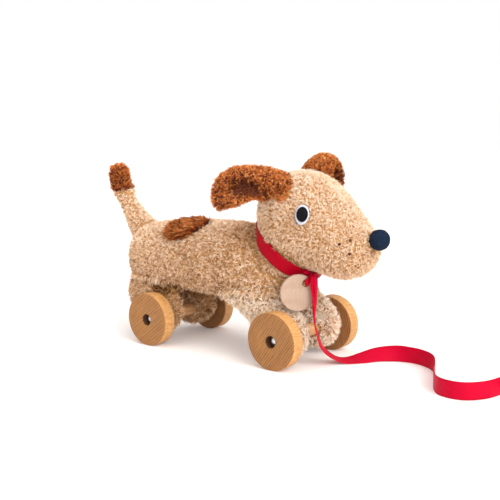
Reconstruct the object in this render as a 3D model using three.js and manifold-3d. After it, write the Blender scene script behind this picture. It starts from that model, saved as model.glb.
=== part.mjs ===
// Pull-along plush dog on four wooden wheels, with a ribbon collar, a wooden tag and a ribbon lead.
// Millimetres. +X is the way the dog looks, +Y its left side, +Z up, the floor at z = 0.
// The toy is built about the middle of its wheelbase and set on its box's bottom centre at the end.
import * as THREE from 'three';
import { mergeVertices } from 'three/addons/utils/BufferGeometryUtils.js';
import Module from 'manifold-3d';

const wasm = await Module();
wasm.setup();

// Clearances
const seatGap = 0.3; // between pieces that rest on each other
const cutOverrun = 2; // how far a cutting tool runs past what it cuts

// Wheels
const wheelDiameter = 50;
const wheelWidth = 13;
const wheelBore = 4.6;
const wheelEdgeChamfer = 0.9;
const counterboreDiameter = 10.4;
const counterboreDepth = 7.5;
const counterboreChamfer = 0.6;
const wheelSides = 44;
const wheelbase = 149;
const trackWidth = 98; // over the outer faces of a pair of wheels

// Axle dowels, pins and washers
const dowelDiameter = 12;
const dowelEndChamfer = 0.6;
const pinShankDiameter = 3.6;
const pinGripLength = 16; // how deep the shank goes into the dowel's end
const pinHeadDiameter = 8;
const pinHeadHeight = 2.2;
const washerDiameter = 9.4;
const washerThickness = 0.8;
const spacerDiameter = 14;
const spacerThickness = 1.2;
const turnedSides = 20;

// Torso
const torsoLength = 204;
const torsoHeight = 73;
const torsoWidth = 80;
const torsoClearance = 45.5; // floor to the torso's underside
const rearOverhang = 51.5; // rear axle to the rump
const torsoRoundness = 2.3; // superellipse power of its sections

// Neck, a short barrel that leans forward out of the torso into the head
const neckLength = 65; // nape to throat
const neckBreadth = 66;
const neckRise = 9; // how far it reaches past the collar's middle, each way
const neckForward = -13.5; // collar's middle from the front axle
const neckHeight = 94; // floor to the collar's middle
const neckLeanDegrees = 32.6;

// Head
const headLength = 109;
const headHeight = 94;
const headWidth = 77;
const headBase = 74; // floor to the chin
const headSetback = 37.5; // back of the head behind the front axle
const headRoundness = 2.15;

// Legs
const legLength = 74; // along the toy, at the widest
const legThickness = 25;
const legSpacing = 47; // between the middles of a pair
const legTop = 62;
const frontFootClearance = 5.5;
const rearFootClearance = 7.5;
const legRoundness = 2.3;

// Tail
const tailLength = 82;
const tailRootRadius = 16;
const tailRootHeight = 98;
const tailRootInset = 8; // root's middle ahead of the rump
const tailTipLength = 29.5; // the brown piece
const tailSeamLeanDegrees = 10;

// Ears
const earLength = 61.5;
const earHeight = 38;
const earDepth = 27;
const earRootHeight = 155;
const earRootForward = -4.5; // from the front axle
const earRootOut = 14; // from the middle of the head
const earNotchDepthShare = 0.46;
const earRiseShare = { right: 0, left: 0.42 }; // of the ear's length, at its length out
const earDroopShare = { right: 0, left: 0.44 };
const earFlopDegrees = 12; // how far an ear lifts or drops at its seam

// Face
const noseDiameter = 17.6;
const noseHeight = 111.5;
const noseForward = 4.5; // nose's middle ahead of the muzzle
const eyeWidth = 12.7;
const eyeHeight = 17;
const eyeThickness = 1.4;
const pupilWidth = 9.4;
const pupilHeight = 12;
const pupilThickness = 1.1;
const whiskerKnotDiameter = 2.4;

// Back patch
const patchLength = 43;
const patchWidth = 32;
const patchThickness = 1.8;
const patchTurnDegrees = 24; // its front end turns up towards the spine

// Collar, knot and tag
const ribbonWidth = 14;
const ribbonThickness = 0.9;
const collarWidth = 10.5;
const collarRise = 4.8; // band's middle above the neck's, along the neck
const collarLeanDegrees = 38;
const knotDiameter = 9;
const knotForward = 14; // from the front axle
const knotSide = -14;
const knotHeight = 80.3;
const tagDiameter = 31.5;
const tagThickness = 3;
const tagEdgeChamfer = 0.4;
const tagHoleDiameter = 6;
const tagHoleInset = 5.6; // hole's middle in from the edge
const tagFacingDegrees = 35; // from straight ahead towards the dog's right
const tagHoleTurnDegrees = 41; // hole's place round the tag, from the top towards the lead
const tagForward = 12.9; // tag's middle from the front axle
const tagSide = -26.5;
const tagHeight = 65.2;
const loopWidth = 3; // the narrow ribbon that the tag hangs on
const loopDrop = 4.6; // its start in the knot, behind the tag's middle plane
const loopReach = 3; // its furthest in front of the tag's middle plane

// Lead
const leadFloorGap = 0.2;
const coilEntryX = 258;
const coilEntryY = 45;
const coilOuterRadius = 44;
const coilPitch = 6;
const coilTurns = 1.75;
const coilEndRadius = 20;
const coilEndSweepDegrees = 110;
const endKnotDiameter = 15;

// Faces per ring and rings per form
const torsoRings = 22;
const torsoSides = 26;
const headRings = 22;
const headSides = 26;
const legRings = 11;
const legSides = 18;
const tailRings = 13;
const tailSides = 14;
const earRings = 13;
const earSides = 22;
const noseSegments = 16;
const beadSegments = 8;
const ovalSegments = 12;
const tagSegments = 20;
const loopSteps = 22;
const leadSteps = 62;
const coilStepsPerTurn = 24;

// Worked-out places
const wheelRadius = wheelDiameter / 2;
const axleHeight = wheelRadius * Math.cos(Math.PI / wheelSides); // a wheel rests on one of its flats
const frontAxleX = wheelbase / 2;
const rearAxleX = -wheelbase / 2;
const wheelOuterY = trackWidth / 2;
const wheelInnerY = wheelOuterY - wheelWidth;
const dowelEndY = wheelInnerY - seatGap - spacerThickness - seatGap;
const torsoRearX = rearAxleX - rearOverhang;
const headBackX = frontAxleX - headSetback;

// Materials
const colours = {
  cream: 0xd9b98f,
  brown: 0xa8551f,
  navy: 0x1d2c42,
  black: 0x17181b,
  white: 0xf2f1ee,
  thread: 0x6b2413,
  red: 0xc8102e,
  beech: 0xc68b52,
  birch: 0xdcb898,
  steel: 0xc9ccd0,
  nylon: 0xe8e4da,
};

function finish(name, roughness, metalness = 0) {
  return new THREE.MeshStandardMaterial({ name, color: colours[name], roughness, metalness });
}

// Solids

function solidOf(geometry) {
  const bare = geometry.clone();
  bare.deleteAttribute('normal');
  bare.deleteAttribute('uv');
  const merged = mergeVertices(bare);
  const vertProperties = Float32Array.from(merged.attributes.position.array);
  const triVerts = Uint32Array.from(merged.index.array);
  return new wasm.Manifold(new wasm.Mesh({ numProp: 3, vertProperties, triVerts }));
}

function geometryOf(solid) {
  const { vertProperties, triVerts } = solid.getMesh();
  const geometry = new THREE.BufferGeometry();
  geometry.setAttribute('position', new THREE.BufferAttribute(vertProperties, 3));
  geometry.setIndex(new THREE.BufferAttribute(triVerts, 1));
  geometry.computeVertexNormals();
  return geometry;
}

function meshOf(name, shape, material) {
  const geometry = shape.isBufferGeometry ? shape : geometryOf(shape);
  const mesh = new THREE.Mesh(geometry, material);
  mesh.name = name;
  return mesh;
}

function placed(geometry, matrix) {
  return geometry.clone().applyMatrix4(matrix);
}

// A matrix that takes local x, y and z to three directions and the origin to a place
function frameAt(place, x, y, z) {
  return new THREE.Matrix4().makeBasis(x, y, z).setPosition(place);
}

// Six times the volume that the faces enclose, negative when they point inwards
function signedVolume(points, faces) {
  let sum = 0;
  for (let i = 0; i < faces.length; i += 3) {
    const [a, b, c] = [points[faces[i]], points[faces[i + 1]], points[faces[i + 2]]];
    sum += a.dot(new THREE.Vector3().crossVectors(b, c));
  }
  return sum;
}

// A closed skin over rings of equally many points, with a point in the middle of each end
function skin(rings, startPoint, endPoint) {
  const sides = rings[0].length;
  const points = [...rings.flat(), startPoint, endPoint];
  const startIndex = rings.length * sides;
  const faces = [];
  for (let ring = 0; ring < rings.length - 1; ring += 1) {
    for (let side = 0; side < sides; side += 1) {
      const next = (side + 1) % sides;
      const [a, b] = [ring * sides + side, ring * sides + next];
      const [c, d] = [a + sides, b + sides];
      faces.push(a, b, d, a, d, c);
    }
  }
  const lastRing = (rings.length - 1) * sides;
  for (let side = 0; side < sides; side += 1) {
    const next = (side + 1) % sides;
    faces.push(startIndex, next, side);
    faces.push(startIndex + 1, lastRing + side, lastRing + next);
  }
  if (signedVolume(points, faces) < 0) {
    for (let i = 0; i < faces.length; i += 3) {
      [faces[i + 1], faces[i + 2]] = [faces[i + 2], faces[i + 1]];
    }
  }
  const geometry = new THREE.BufferGeometry();
  const places = points.flatMap((point) => point.toArray());
  geometry.setAttribute('position', new THREE.Float32BufferAttribute(places, 3));
  geometry.setIndex(faces);
  return geometry;
}

// Rows of a table at evenly spaced places, each column on a Catmull-Rom spline
function sampleRows(rows, count) {
  const columns = rows[0].length;
  const sampled = [];
  for (let i = 0; i < count; i += 1) {
    const along = ((rows.length - 1) * i) / (count - 1);
    const cell = Math.min(Math.floor(along), rows.length - 2);
    const t = along - cell;
    const row = [];
    for (let column = 0; column < columns; column += 1) {
      const at = (index) => rows[THREE.MathUtils.clamp(index, 0, rows.length - 1)][column];
      const [p0, p1, p2, p3] = [at(cell - 1), at(cell), at(cell + 1), at(cell + 2)];
      const slope1 = (p2 - p0) / 2;
      const slope2 = (p3 - p1) / 2;
      const cubic = 2 * (p1 - p2) + slope1 + slope2;
      const square = 3 * (p2 - p1) - 2 * slope1 - slope2;
      row.push(((cubic * t + square) * t + slope1) * t + p1);
    }
    sampled.push(row);
  }
  return sampled;
}

// A superellipse ring about a middle point, along two unit directions
function ringAbout(middle, u, v, halfU, halfV, sides, power) {
  const ring = [];
  for (let side = 0; side < sides; side += 1) {
    const turn = (2 * Math.PI * side) / sides;
    const [c, s] = [Math.cos(turn), Math.sin(turn)];
    const alongU = halfU * Math.sign(c) * Math.abs(c) ** (2 / power);
    const alongV = halfV * Math.sign(s) * Math.abs(s) ** (2 / power);
    ring.push(middle.clone().addScaledVector(u, alongU).addScaledVector(v, alongV));
  }
  return ring;
}

const axisX = new THREE.Vector3(1, 0, 0);
const axisY = new THREE.Vector3(0, 1, 0);
const axisZ = new THREE.Vector3(0, 0, 1);

// Plush forms. Each takes how far its skin grows, so that a neighbour can be cut clear of it.

// A barrel along X: its table has places along its length, top and underside as shares of its
// height, and half width as a share of its own
const torsoShape = {
  backX: torsoRearX,
  baseZ: torsoClearance,
  length: torsoLength,
  height: torsoHeight,
  width: torsoWidth,
  power: torsoRoundness,
  rings: torsoRings,
  sides: torsoSides,
  shares: [
    [0.0, 0.45, 0.45, 0.0],
    [0.007, 0.69, 0.17, 0.4],
    [0.039, 0.815, 0.07, 0.72],
    [0.1, 0.91, 0.02, 0.91],
    [0.2, 0.945, 0.02, 0.98],
    [0.38, 0.986, 0.04, 1.0],
    [0.575, 1.0, 0.03, 1.0],
    [0.696, 0.973, 0.007, 0.98],
    [0.79, 0.86, 0.0, 0.94],
    [0.88, 0.69, 0.0, 0.85],
    [0.947, 0.53, 0.035, 0.68],
    [0.985, 0.39, 0.1, 0.42],
    [1.0, 0.25, 0.25, 0.0],
  ],
};

const headShape = {
  backX: headBackX,
  baseZ: headBase,
  length: headLength,
  height: headHeight,
  width: headWidth,
  power: headRoundness,
  rings: headRings,
  sides: headSides,
  shares: [
    [0.0, 0.59, 0.59, 0.0],
    [0.015, 0.78, 0.38, 0.42],
    [0.075, 0.884, 0.242, 0.74],
    [0.175, 0.955, 0.158, 0.92],
    [0.3, 0.99, 0.13, 1.0],
    [0.43, 0.98, 0.097, 1.0],
    [0.56, 0.925, 0.06, 0.96],
    [0.67, 0.825, 0.023, 0.9],
    [0.78, 0.68, 0.016, 0.82],
    [0.88, 0.555, 0.053, 0.7],
    [0.95, 0.475, 0.116, 0.54],
    [0.985, 0.4, 0.19, 0.34],
    [1.0, 0.295, 0.295, 0.0],
  ],
};

function barrelForm(shape, grow = 0) {
  const rows = sampleRows(shape.shares, shape.rings);
  const stretch = 1 + (2 * grow) / shape.length;
  const atRow = ([along, top, under]) => new THREE.Vector3(
    shape.backX - grow + along * shape.length * stretch,
    0,
    shape.baseZ + (shape.height * (top + under)) / 2,
  );
  const rings = rows.slice(1, -1).map((row) => {
    const halfHeight = (shape.height * (row[1] - row[2])) / 2 + grow;
    const halfWidth = (shape.width * row[3]) / 2 + grow;
    return ringAbout(atRow(row), axisY, axisZ, halfWidth, halfHeight, shape.sides, shape.power);
  });
  return solidOf(skin(rings, atRow(rows[0]), atRow(rows[rows.length - 1])));
}

// The row of a barrel's table at a share of its length
function rowAlong(shape, along) {
  const rows = sampleRows(shape.shares, shape.rings * shape.rings);
  return rows.reduce((best, row) => (Math.abs(row[0] - along) < Math.abs(best[0] - along) ? row : best));
}

// A place on a barrel's side, at shares of its length and of its section's height
function placeOnBarrel(shape, along, up, side) {
  const row = rowAlong(shape, along);
  const level = 2 * up - 1;
  const halfWidth = (shape.width * row[3]) / 2;
  const top = shape.height * row[1];
  const under = shape.height * row[2];
  return new THREE.Vector3(
    shape.backX + along * shape.length,
    side * halfWidth * (1 - Math.abs(level) ** shape.power) ** (1 / shape.power),
    shape.baseZ + under + (top - under) * up,
  );
}

// The same place's outward normal, from its neighbours along and up the side
function normalOnBarrel(shape, along, up, side) {
  const stepShare = 0.04;
  const ahead = placeOnBarrel(shape, along + stepShare, up, side)
    .sub(placeOnBarrel(shape, along - stepShare, up, side));
  const above = placeOnBarrel(shape, along, up + stepShare, side)
    .sub(placeOnBarrel(shape, along, up - stepShare, side));
  return new THREE.Vector3().crossVectors(ahead, above).multiplyScalar(-side).normalize();
}

// Neck: across the toy, and along the line from nape to throat
const neckLean = THREE.MathUtils.degToRad(neckLeanDegrees);
const neckMiddle = new THREE.Vector3(frontAxleX + neckForward, 0, neckHeight);
const neckAlong = new THREE.Vector3(Math.cos(neckLean), 0, -Math.sin(neckLean));
const neckUp = new THREE.Vector3(Math.sin(neckLean), 0, Math.cos(neckLean));
const neckShares = [
  [-1, 0.0],
  [-0.94, 0.7],
  [-0.75, 0.93],
  [-0.4, 1.0],
  [0.4, 1.0],
  [0.75, 0.93],
  [0.94, 0.7],
  [1, 0.0],
];

function neckForm(grow = 0) {
  const place = ([rise]) => neckMiddle.clone().addScaledVector(neckUp, rise * (2 * neckRise + grow));
  const rings = neckShares.slice(1, -1).map((row) => ringAbout(
    place(row),
    neckAlong,
    axisY,
    (neckLength * row[1]) / 2 + grow,
    (neckBreadth * row[1]) / 2 + grow,
    torsoSides,
    2,
  ));
  return solidOf(skin(rings, place(neckShares[0]), place(neckShares[neckShares.length - 1])));
}

// Leg, foot to thigh: height as a share from foot to top, back and front edges from the axle as
// shares of the leg's length, and half thickness as a share
const frontLegShares = [
  [0.0, -0.08, -0.08, 0.0],
  [0.02, -0.22, 0.06, 0.5],
  [0.07, -0.3, 0.13, 0.78],
  [0.16, -0.37, 0.2, 0.95],
  [0.28, -0.43, 0.255, 1.0],
  [0.45, -0.5, 0.27, 1.0],
  [0.6, -0.62, 0.23, 1.0],
  [0.72, -0.82, 0.14, 1.0],
  [0.84, -0.98, 0.05, 0.94],
  [0.95, -0.86, -0.08, 0.75],
  [0.99, -0.6, -0.25, 0.4],
  [1.0, -0.42, -0.42, 0.0],
];
const rearLegShares = [
  [0.0, -0.1, -0.1, 0.0],
  [0.02, -0.24, 0.02, 0.5],
  [0.09, -0.34, 0.12, 0.82],
  [0.22, -0.44, 0.235, 0.98],
  [0.4, -0.55, 0.29, 1.0],
  [0.6, -0.62, 0.29, 1.0],
  [0.78, -0.64, 0.25, 1.0],
  [0.92, -0.58, 0.12, 0.85],
  [0.985, -0.42, -0.05, 0.5],
  [1.0, -0.22, -0.22, 0.0],
];

function legForm(shares, axleX, footClearance, side) {
  const rows = sampleRows(shares, legRings);
  const reach = legTop - footClearance;
  const atRow = ([up, back, front]) => new THREE.Vector3(
    axleX + (legLength * (back + front)) / 2,
    (side * legSpacing) / 2,
    footClearance + up * reach,
  );
  const rings = rows.slice(1, -1).map((row) => {
    const halfLength = (legLength * (row[2] - row[1])) / 2;
    const halfThickness = (legThickness * row[3]) / 2;
    return ringAbout(atRow(row), axisX, axisY, halfLength, halfThickness, legSides, legRoundness);
  });
  return solidOf(skin(rings, atRow(rows[0]), atRow(rows[rows.length - 1])));
}

// Tail: back and up from its root and radius, as shares of its length and of its root's radius
const tailShares = [
  [0.0, 0.0, 0.0],
  [0.015, 0.015, 0.9],
  [0.08, 0.08, 0.92],
  [0.165, 0.165, 0.8],
  [0.29, 0.32, 0.64],
  [0.4, 0.49, 0.62],
  [0.455, 0.6, 0.68],
  [0.485, 0.73, 0.68],
  [0.495, 0.81, 0.6],
  [0.5, 0.85, 0.4],
  [0.5, 0.868, 0.0],
];

function tailForm() {
  const rows = sampleRows(tailShares, tailRings);
  const centres = rows.map(([back, up]) => new THREE.Vector3(
    torsoRearX + tailRootInset - back * tailLength,
    0,
    tailRootHeight + up * tailLength,
  ));
  const rings = [];
  for (let i = 1; i < rows.length - 1; i += 1) {
    const along = centres[i + 1].clone().sub(centres[i - 1]).normalize();
    const across = new THREE.Vector3().crossVectors(axisY, along);
    const radius = tailRootRadius * rows[i][2];
    rings.push(ringAbout(centres[i], axisY, across, radius, radius, tailSides, 2));
  }
  return solidOf(skin(rings, centres[0], centres[centres.length - 1]));
}

// Ear: back, out and up from its root as shares of its length, then half height and half depth,
// and how deep the fold along its front is, as shares of their full values
const earShares = [
  [0.0, 0.0, 0.0, 0.0, 0.0],
  [0.0, 0.04, -0.02, 0.62, 0.85],
  [0.03, 0.2, -0.05, 0.88, 1.14],
  [0.09, 0.42, 0.045, 0.78, 1.06],
  [0.17, 0.64, 0.065, 0.81, 1.0],
  [0.22, 0.82, 0.045, 0.88, 0.98],
  [0.25, 0.95, -0.005, 0.9, 0.93],
  [0.27, 1.03, -0.08, 0.84, 0.82],
  [0.28, 1.09, -0.165, 0.68, 0.62],
  [0.285, 1.11, -0.25, 0.38, 0.4],
  [0.285, 1.1, -0.3, 0.0, 0.0],
];
const earFoldShares = [0, 0, 0.1, 0.55, 0.95, 1, 0.9, 0.5, 0.15, 0, 0];
const earNotchTurn = 0.42; // radians, half the fold's opening
const earNotchFall = 1.55; // radians the fold rises over one ear's length, towards the tip
const earNotchLevelShare = 0.87; // of the ear's length, where the fold faces straight ahead

function earRoot(side) {
  return new THREE.Vector3(frontAxleX + earRootForward, side * earRootOut, earRootHeight);
}

function earForm(side, riseShare, droopShare) {
  const rows = sampleRows(earShares.map((row, i) => [...row, earFoldShares[i]]), earRings);
  const root = earRoot(side);
  const centres = rows.map(([back, out, up]) => {
    const level = up + riseShare * out - droopShare * out ** 2;
    return new THREE.Vector3(-back, side * out, level).multiplyScalar(earLength).add(root);
  });
  const rings = [];
  for (let i = 1; i < rows.length - 1; i += 1) {
    const along = centres[i + 1].clone().sub(centres[i - 1]).normalize();
    const forward = axisX.clone().addScaledVector(along, -axisX.dot(along)).normalize();
    const upward = new THREE.Vector3().crossVectors(forward, along).multiplyScalar(side);
    const halfHeight = (earHeight * rows[i][3]) / 2;
    const halfDepth = (earDepth * rows[i][4]) / 2;
    const fall = earNotchFall * (earNotchLevelShare - rows[i][1]);
    const ring = [];
    for (let j = 0; j < earSides; j += 1) {
      const turn = (2 * Math.PI * j) / earSides;
      const offFold = Math.atan2(Math.sin(turn + fall), Math.cos(turn + fall));
      const opening = Math.exp(-((offFold / earNotchTurn) ** 2));
      const notch = 1 - 2 * earNotchDepthShare * rows[i][5] * opening;
      ring.push(centres[i].clone()
        .addScaledVector(forward, halfDepth * notch * Math.cos(turn))
        .addScaledVector(upward, halfHeight * Math.sin(turn)));
    }
    rings.push(ring);
  }
  return solidOf(skin(rings, centres[0], centres[centres.length - 1]));
}

// Turned pieces, as profiles of [radius, height] about +Y

function turned(profile, sides) {
  return new THREE.LatheGeometry(profile.map(([r, h]) => new THREE.Vector2(r, h)), sides);
}

// A wheel on y from 0, its inner face, to its width, its outer face
function wheelGeometry() {
  const bore = wheelBore / 2;
  const mouth = counterboreDiameter / 2;
  const floor = wheelWidth - counterboreDepth;
  const rim = wheelRadius;
  const profile = [
    [bore, 0],
    [rim - wheelEdgeChamfer, 0],
    [rim, wheelEdgeChamfer],
    [rim, wheelWidth - wheelEdgeChamfer],
    [rim - wheelEdgeChamfer, wheelWidth],
    [mouth + counterboreChamfer, wheelWidth],
    [mouth, wheelWidth - counterboreChamfer],
    [mouth, floor],
    [bore, floor],
    [bore, 0],
  ];
  const geometry = turned(profile, wheelSides);
  geometry.rotateY(Math.PI / wheelSides); // a flat, not a corner, is lowest
  return geometry;
}

function ringGeometry(outer, inner, thickness) {
  const profile = [
    [inner / 2, 0],
    [outer / 2, 0],
    [outer / 2, thickness],
    [inner / 2, thickness],
    [inner / 2, 0],
  ];
  return turned(profile, turnedSides);
}

// A pin whose head sits on y = 0, with its shank running down to -length
function pinGeometry(length) {
  const shank = pinShankDiameter / 2;
  const head = pinHeadDiameter / 2;
  const pointShare = 0.45;
  const domeShares = [[1, 0], [0.97, 0.35], [0.8, 0.72], [0.48, 0.94], [0, 1]];
  const profile = [
    [0, -length],
    [shank * pointShare, -length],
    [shank, -length + shank],
    [shank, 0],
    ...domeShares.map(([r, h]) => [head * r, pinHeadHeight * h]),
  ];
  return turned(profile, turnedSides);
}

function dowelGeometry() {
  const radius = dowelDiameter / 2;
  const pilot = pinShankDiameter / 2 + seatGap;
  const drill = dowelEndY - pinGripLength - seatGap;
  const profile = [
    [0, -drill],
    [pilot, -drill],
    [pilot, -dowelEndY],
    [radius - dowelEndChamfer, -dowelEndY],
    [radius, -dowelEndY + dowelEndChamfer],
    [radius, dowelEndY - dowelEndChamfer],
    [radius - dowelEndChamfer, dowelEndY],
    [pilot, dowelEndY],
    [pilot, drill],
    [0, drill],
  ];
  return turned(profile, turnedSides);
}

// The dowel's way through both legs of a pair, wider at the ends where the spacer washers lie
function boreSolid(axleX) {
  const radius = dowelDiameter / 2 + seatGap;
  const recess = spacerDiameter / 2 + seatGap;
  const reach = wheelOuterY + cutOverrun;
  const profile = [
    [0, -reach],
    [recess, -reach],
    [recess, -dowelEndY],
    [radius, -dowelEndY],
    [radius, dowelEndY],
    [recess, dowelEndY],
    [recess, reach],
    [0, reach],
  ];
  const toAxle = new THREE.Matrix4().makeTranslation(axleX, 0, axleHeight);
  return solidOf(placed(turned(profile, turnedSides), toAxle));
}

// Forms and cuts

const torsoClear = barrelForm(torsoShape, seatGap).add(neckForm(seatGap));
const torso = barrelForm(torsoShape).add(neckForm());
const headClear = barrelForm(headShape, seatGap);
const head = barrelForm(headShape).subtract(torsoClear);

// What one wheel sweeps, with room to turn, so that a leg stays clear of it
function wheelRoom(axleX, side) {
  const radius = wheelRadius + cutOverrun;
  const from = wheelInnerY - seatGap;
  const to = wheelOuterY + cutOverrun;
  const geometry = turned([[0, from], [radius, from], [radius, to], [0, to]], wheelSides);
  if (side < 0) geometry.rotateX(Math.PI);
  return solidOf(placed(geometry, new THREE.Matrix4().makeTranslation(axleX, 0, axleHeight)));
}

const sides = { right: -1, left: 1 };
const ends = {
  front: { axleX: frontAxleX, shares: frontLegShares, clearance: frontFootClearance },
  rear: { axleX: rearAxleX, shares: rearLegShares, clearance: rearFootClearance },
};

let torsoCut = torso;
for (const end of Object.values(ends)) {
  for (const side of Object.values(sides)) torsoCut = torsoCut.subtract(wheelRoom(end.axleX, side));
}

const toy = new THREE.Group();
const pieces = [];
const cordPieces = [];

function add(name, shape, material) {
  const mesh = meshOf(name, shape, material);
  pieces.push(mesh);
  toy.add(mesh);
  return mesh;
}

add('torso_plush', torsoCut, finish('cream', 0.95));
add('head_plush', head, finish('cream', 0.95));

for (const [endName, end] of Object.entries(ends)) {
  for (const [sideName, side] of Object.entries(sides)) {
    const leg = legForm(end.shares, end.axleX, end.clearance, side)
      .subtract(torsoClear)
      .subtract(boreSolid(end.axleX))
      .subtract(wheelRoom(end.axleX, side));
    add(`leg_${endName}_${sideName}`, leg, finish('cream', 0.95));
  }
}

// Tail, cut across where the brown tip is sewn on
const tail = tailForm().subtract(torsoClear);
const tailEnd = tailShares[tailShares.length - 1];
const seamLean = THREE.MathUtils.degToRad(tailSeamLeanDegrees);
const seamNormal = new THREE.Vector3(-Math.sin(seamLean), 0, Math.cos(seamLean));
const seamPlace = new THREE.Vector3(
  torsoRearX + tailRootInset - tailEnd[0] * tailLength,
  0,
  tailRootHeight + tailEnd[1] * tailLength - tailTipLength,
);
const seamOffset = seamPlace.dot(seamNormal);
const belowSeam = tail.trimByPlane(seamNormal.clone().negate().toArray(), -seamOffset);
const aboveSeam = tail.trimByPlane(seamNormal.toArray(), seamOffset + seatGap);
add('tail_plush', belowSeam, finish('cream', 0.95));
add('tail_tip_plush', aboveSeam, finish('brown', 0.95));

// Ears, with room at the seam to lift and drop
for (const [sideName, side] of Object.entries(sides)) {
  const pivot = earRoot(side);
  let ear = earForm(side, earRiseShare[sideName], earDroopShare[sideName]).subtract(headClear);
  for (const turn of [-earFlopDegrees, earFlopDegrees]) {
    const swung = headClear
      .translate(pivot.clone().negate().toArray())
      .rotate([turn, 0, 0])
      .translate(pivot.toArray());
    ear = ear.subtract(swung);
  }
  add(`ear_${sideName}`, ear, finish('brown', 0.95));
}

// Wheels, axles, pins and washers
for (const [endName, end] of Object.entries(ends)) {
  const axlePlace = new THREE.Vector3(end.axleX, 0, axleHeight);
  add(`axle_dowel_${endName}`, dowelGeometry(), finish('beech', 0.6)).position.copy(axlePlace);
  for (const [sideName, side] of Object.entries(sides)) {
    const name = `${endName}_${sideName}`;
    const outward = side > 0 ? 0 : Math.PI; // turned pieces point along +Y
    const set = (mesh, y) => {
      mesh.position.set(end.axleX, side * y, axleHeight);
      mesh.rotation.x = outward;
    };
    const washerY = wheelInnerY + wheelWidth - counterboreDepth + seatGap;
    const headY = washerY + washerThickness + seatGap;
    const shankLength = headY - dowelEndY + pinGripLength;
    set(add(`wheel_${name}`, wheelGeometry(), finish('beech', 0.6)), wheelInnerY);
    set(add(`spacer_washer_${name}`, ringGeometry(spacerDiameter, wheelBore, spacerThickness),
      finish('nylon', 0.5)), dowelEndY + seatGap);
    set(add(`head_washer_${name}`, ringGeometry(washerDiameter, wheelBore, washerThickness),
      finish('steel', 0.3, 1)), washerY);
    set(add(`axle_pin_${name}`, pinGeometry(shankLength), finish('steel', 0.2, 1)), headY);
  }
}

// A closed disc of the given size along z from 0
function discGeometry(width, height, depth, curveSegments) {
  const outline = new THREE.Shape();
  outline.absellipse(0, 0, width / 2, height / 2, 0, 2 * Math.PI);
  return new THREE.ExtrudeGeometry(outline, { depth, bevelEnabled: false, curveSegments });
}

// What an oval cutter along a barrel's normal takes from between two of its grown skins
function ovalOn(shape, [along, up, side], width, height, turnDegrees, from, thickness) {
  const place = placeOnBarrel(shape, along, up, side);
  const normal = normalOnBarrel(shape, along, up, side);
  const ahead = axisX.clone().addScaledVector(normal, -normal.x).normalize();
  const upward = new THREE.Vector3().crossVectors(normal, ahead);
  const turn = THREE.MathUtils.degToRad(turnDegrees);
  const x = ahead.clone().multiplyScalar(Math.cos(turn)).addScaledVector(upward, Math.sin(turn));
  const y = new THREE.Vector3().crossVectors(normal, x);
  const start = place.addScaledVector(normal, -width / 2);
  const disc = discGeometry(width, height, width, ovalSegments);
  const cutter = solidOf(placed(disc, frameAt(start, x, y, normal)));
  return cutter.intersect(barrelForm(shape, from + thickness)).subtract(barrelForm(shape, from));
}

// Face
const noseForm = new THREE.SphereGeometry(noseDiameter / 2, noseSegments, noseSegments);
const nosePlace = new THREE.Vector3(headBackX + headLength + noseForward, 0, noseHeight);
add('nose', solidOf(noseForm).translate(nosePlace.toArray()).subtract(headClear), finish('navy', 0.85));

const eyeShares = [0.57, 0.668];
const pupilShares = [0.576, 0.664];
const whiskerShares = [[0.917, 0.757], [0.858, 0.628], [0.924, 0.5]];
for (const [sideName, side] of Object.entries(sides)) {
  const whitePlace = [...eyeShares, side];
  const white = ovalOn(headShape, whitePlace, eyeWidth, eyeHeight, 0, seatGap, eyeThickness);
  add(`eye_white_${sideName}`, white, finish('white', 0.9));
  const pupilFrom = seatGap + eyeThickness + seatGap;
  const pupilPlace = [...pupilShares, side];
  const pupil = ovalOn(headShape, pupilPlace, pupilWidth, pupilHeight, 0, pupilFrom, pupilThickness);
  add(`pupil_${sideName}`, pupil, finish('black', 0.6));
  whiskerShares.forEach((shares, index) => {
    const foot = placeOnBarrel(headShape, ...shares, side);
    const bead = new THREE.SphereGeometry(whiskerKnotDiameter / 2, beadSegments, beadSegments);
    const stitch = solidOf(bead).translate(foot.toArray()).subtract(headClear);
    add(`whisker_knot_${sideName}_${index + 1}`, stitch, finish('thread', 0.8));
  });
}

// Back patch
const patchShares = [0.404, 0.945];
const patch = ovalOn(torsoShape, [...patchShares, sides.right], patchLength, patchWidth, patchTurnDegrees,
  seatGap, patchThickness);
add('back_patch', patch, finish('brown', 0.95));

// Collar: a band round the neck that lies on whatever is there, the head or the torso
function neckSkin(grow) {
  return barrelForm(torsoShape, grow).add(neckForm(grow)).add(barrelForm(headShape, grow));
}

const collarLean = THREE.MathUtils.degToRad(collarLeanDegrees);
const collarUp = new THREE.Vector3(Math.sin(collarLean), 0, Math.cos(collarLean));
const collarLevel = collarUp.dot(neckMiddle) + collarRise;
const collar = neckSkin(seatGap + ribbonThickness)
  .subtract(neckSkin(seatGap))
  .trimByPlane(collarUp.toArray(), collarLevel - collarWidth / 2)
  .trimByPlane(collarUp.clone().negate().toArray(), -collarLevel - collarWidth / 2);
add('collar_ribbon', collar, finish('red', 0.45));

const knotPlace = new THREE.Vector3(frontAxleX + knotForward, knotSide, knotHeight);
const knotBall = new THREE.SphereGeometry(knotDiameter / 2, noseSegments, noseSegments);
const knotSeat = neckSkin(seatGap + ribbonThickness + seatGap);
const knot = solidOf(knotBall).translate(knotPlace.toArray()).subtract(knotSeat);
add('ribbon_knot', knot, finish('red', 0.45));

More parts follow.
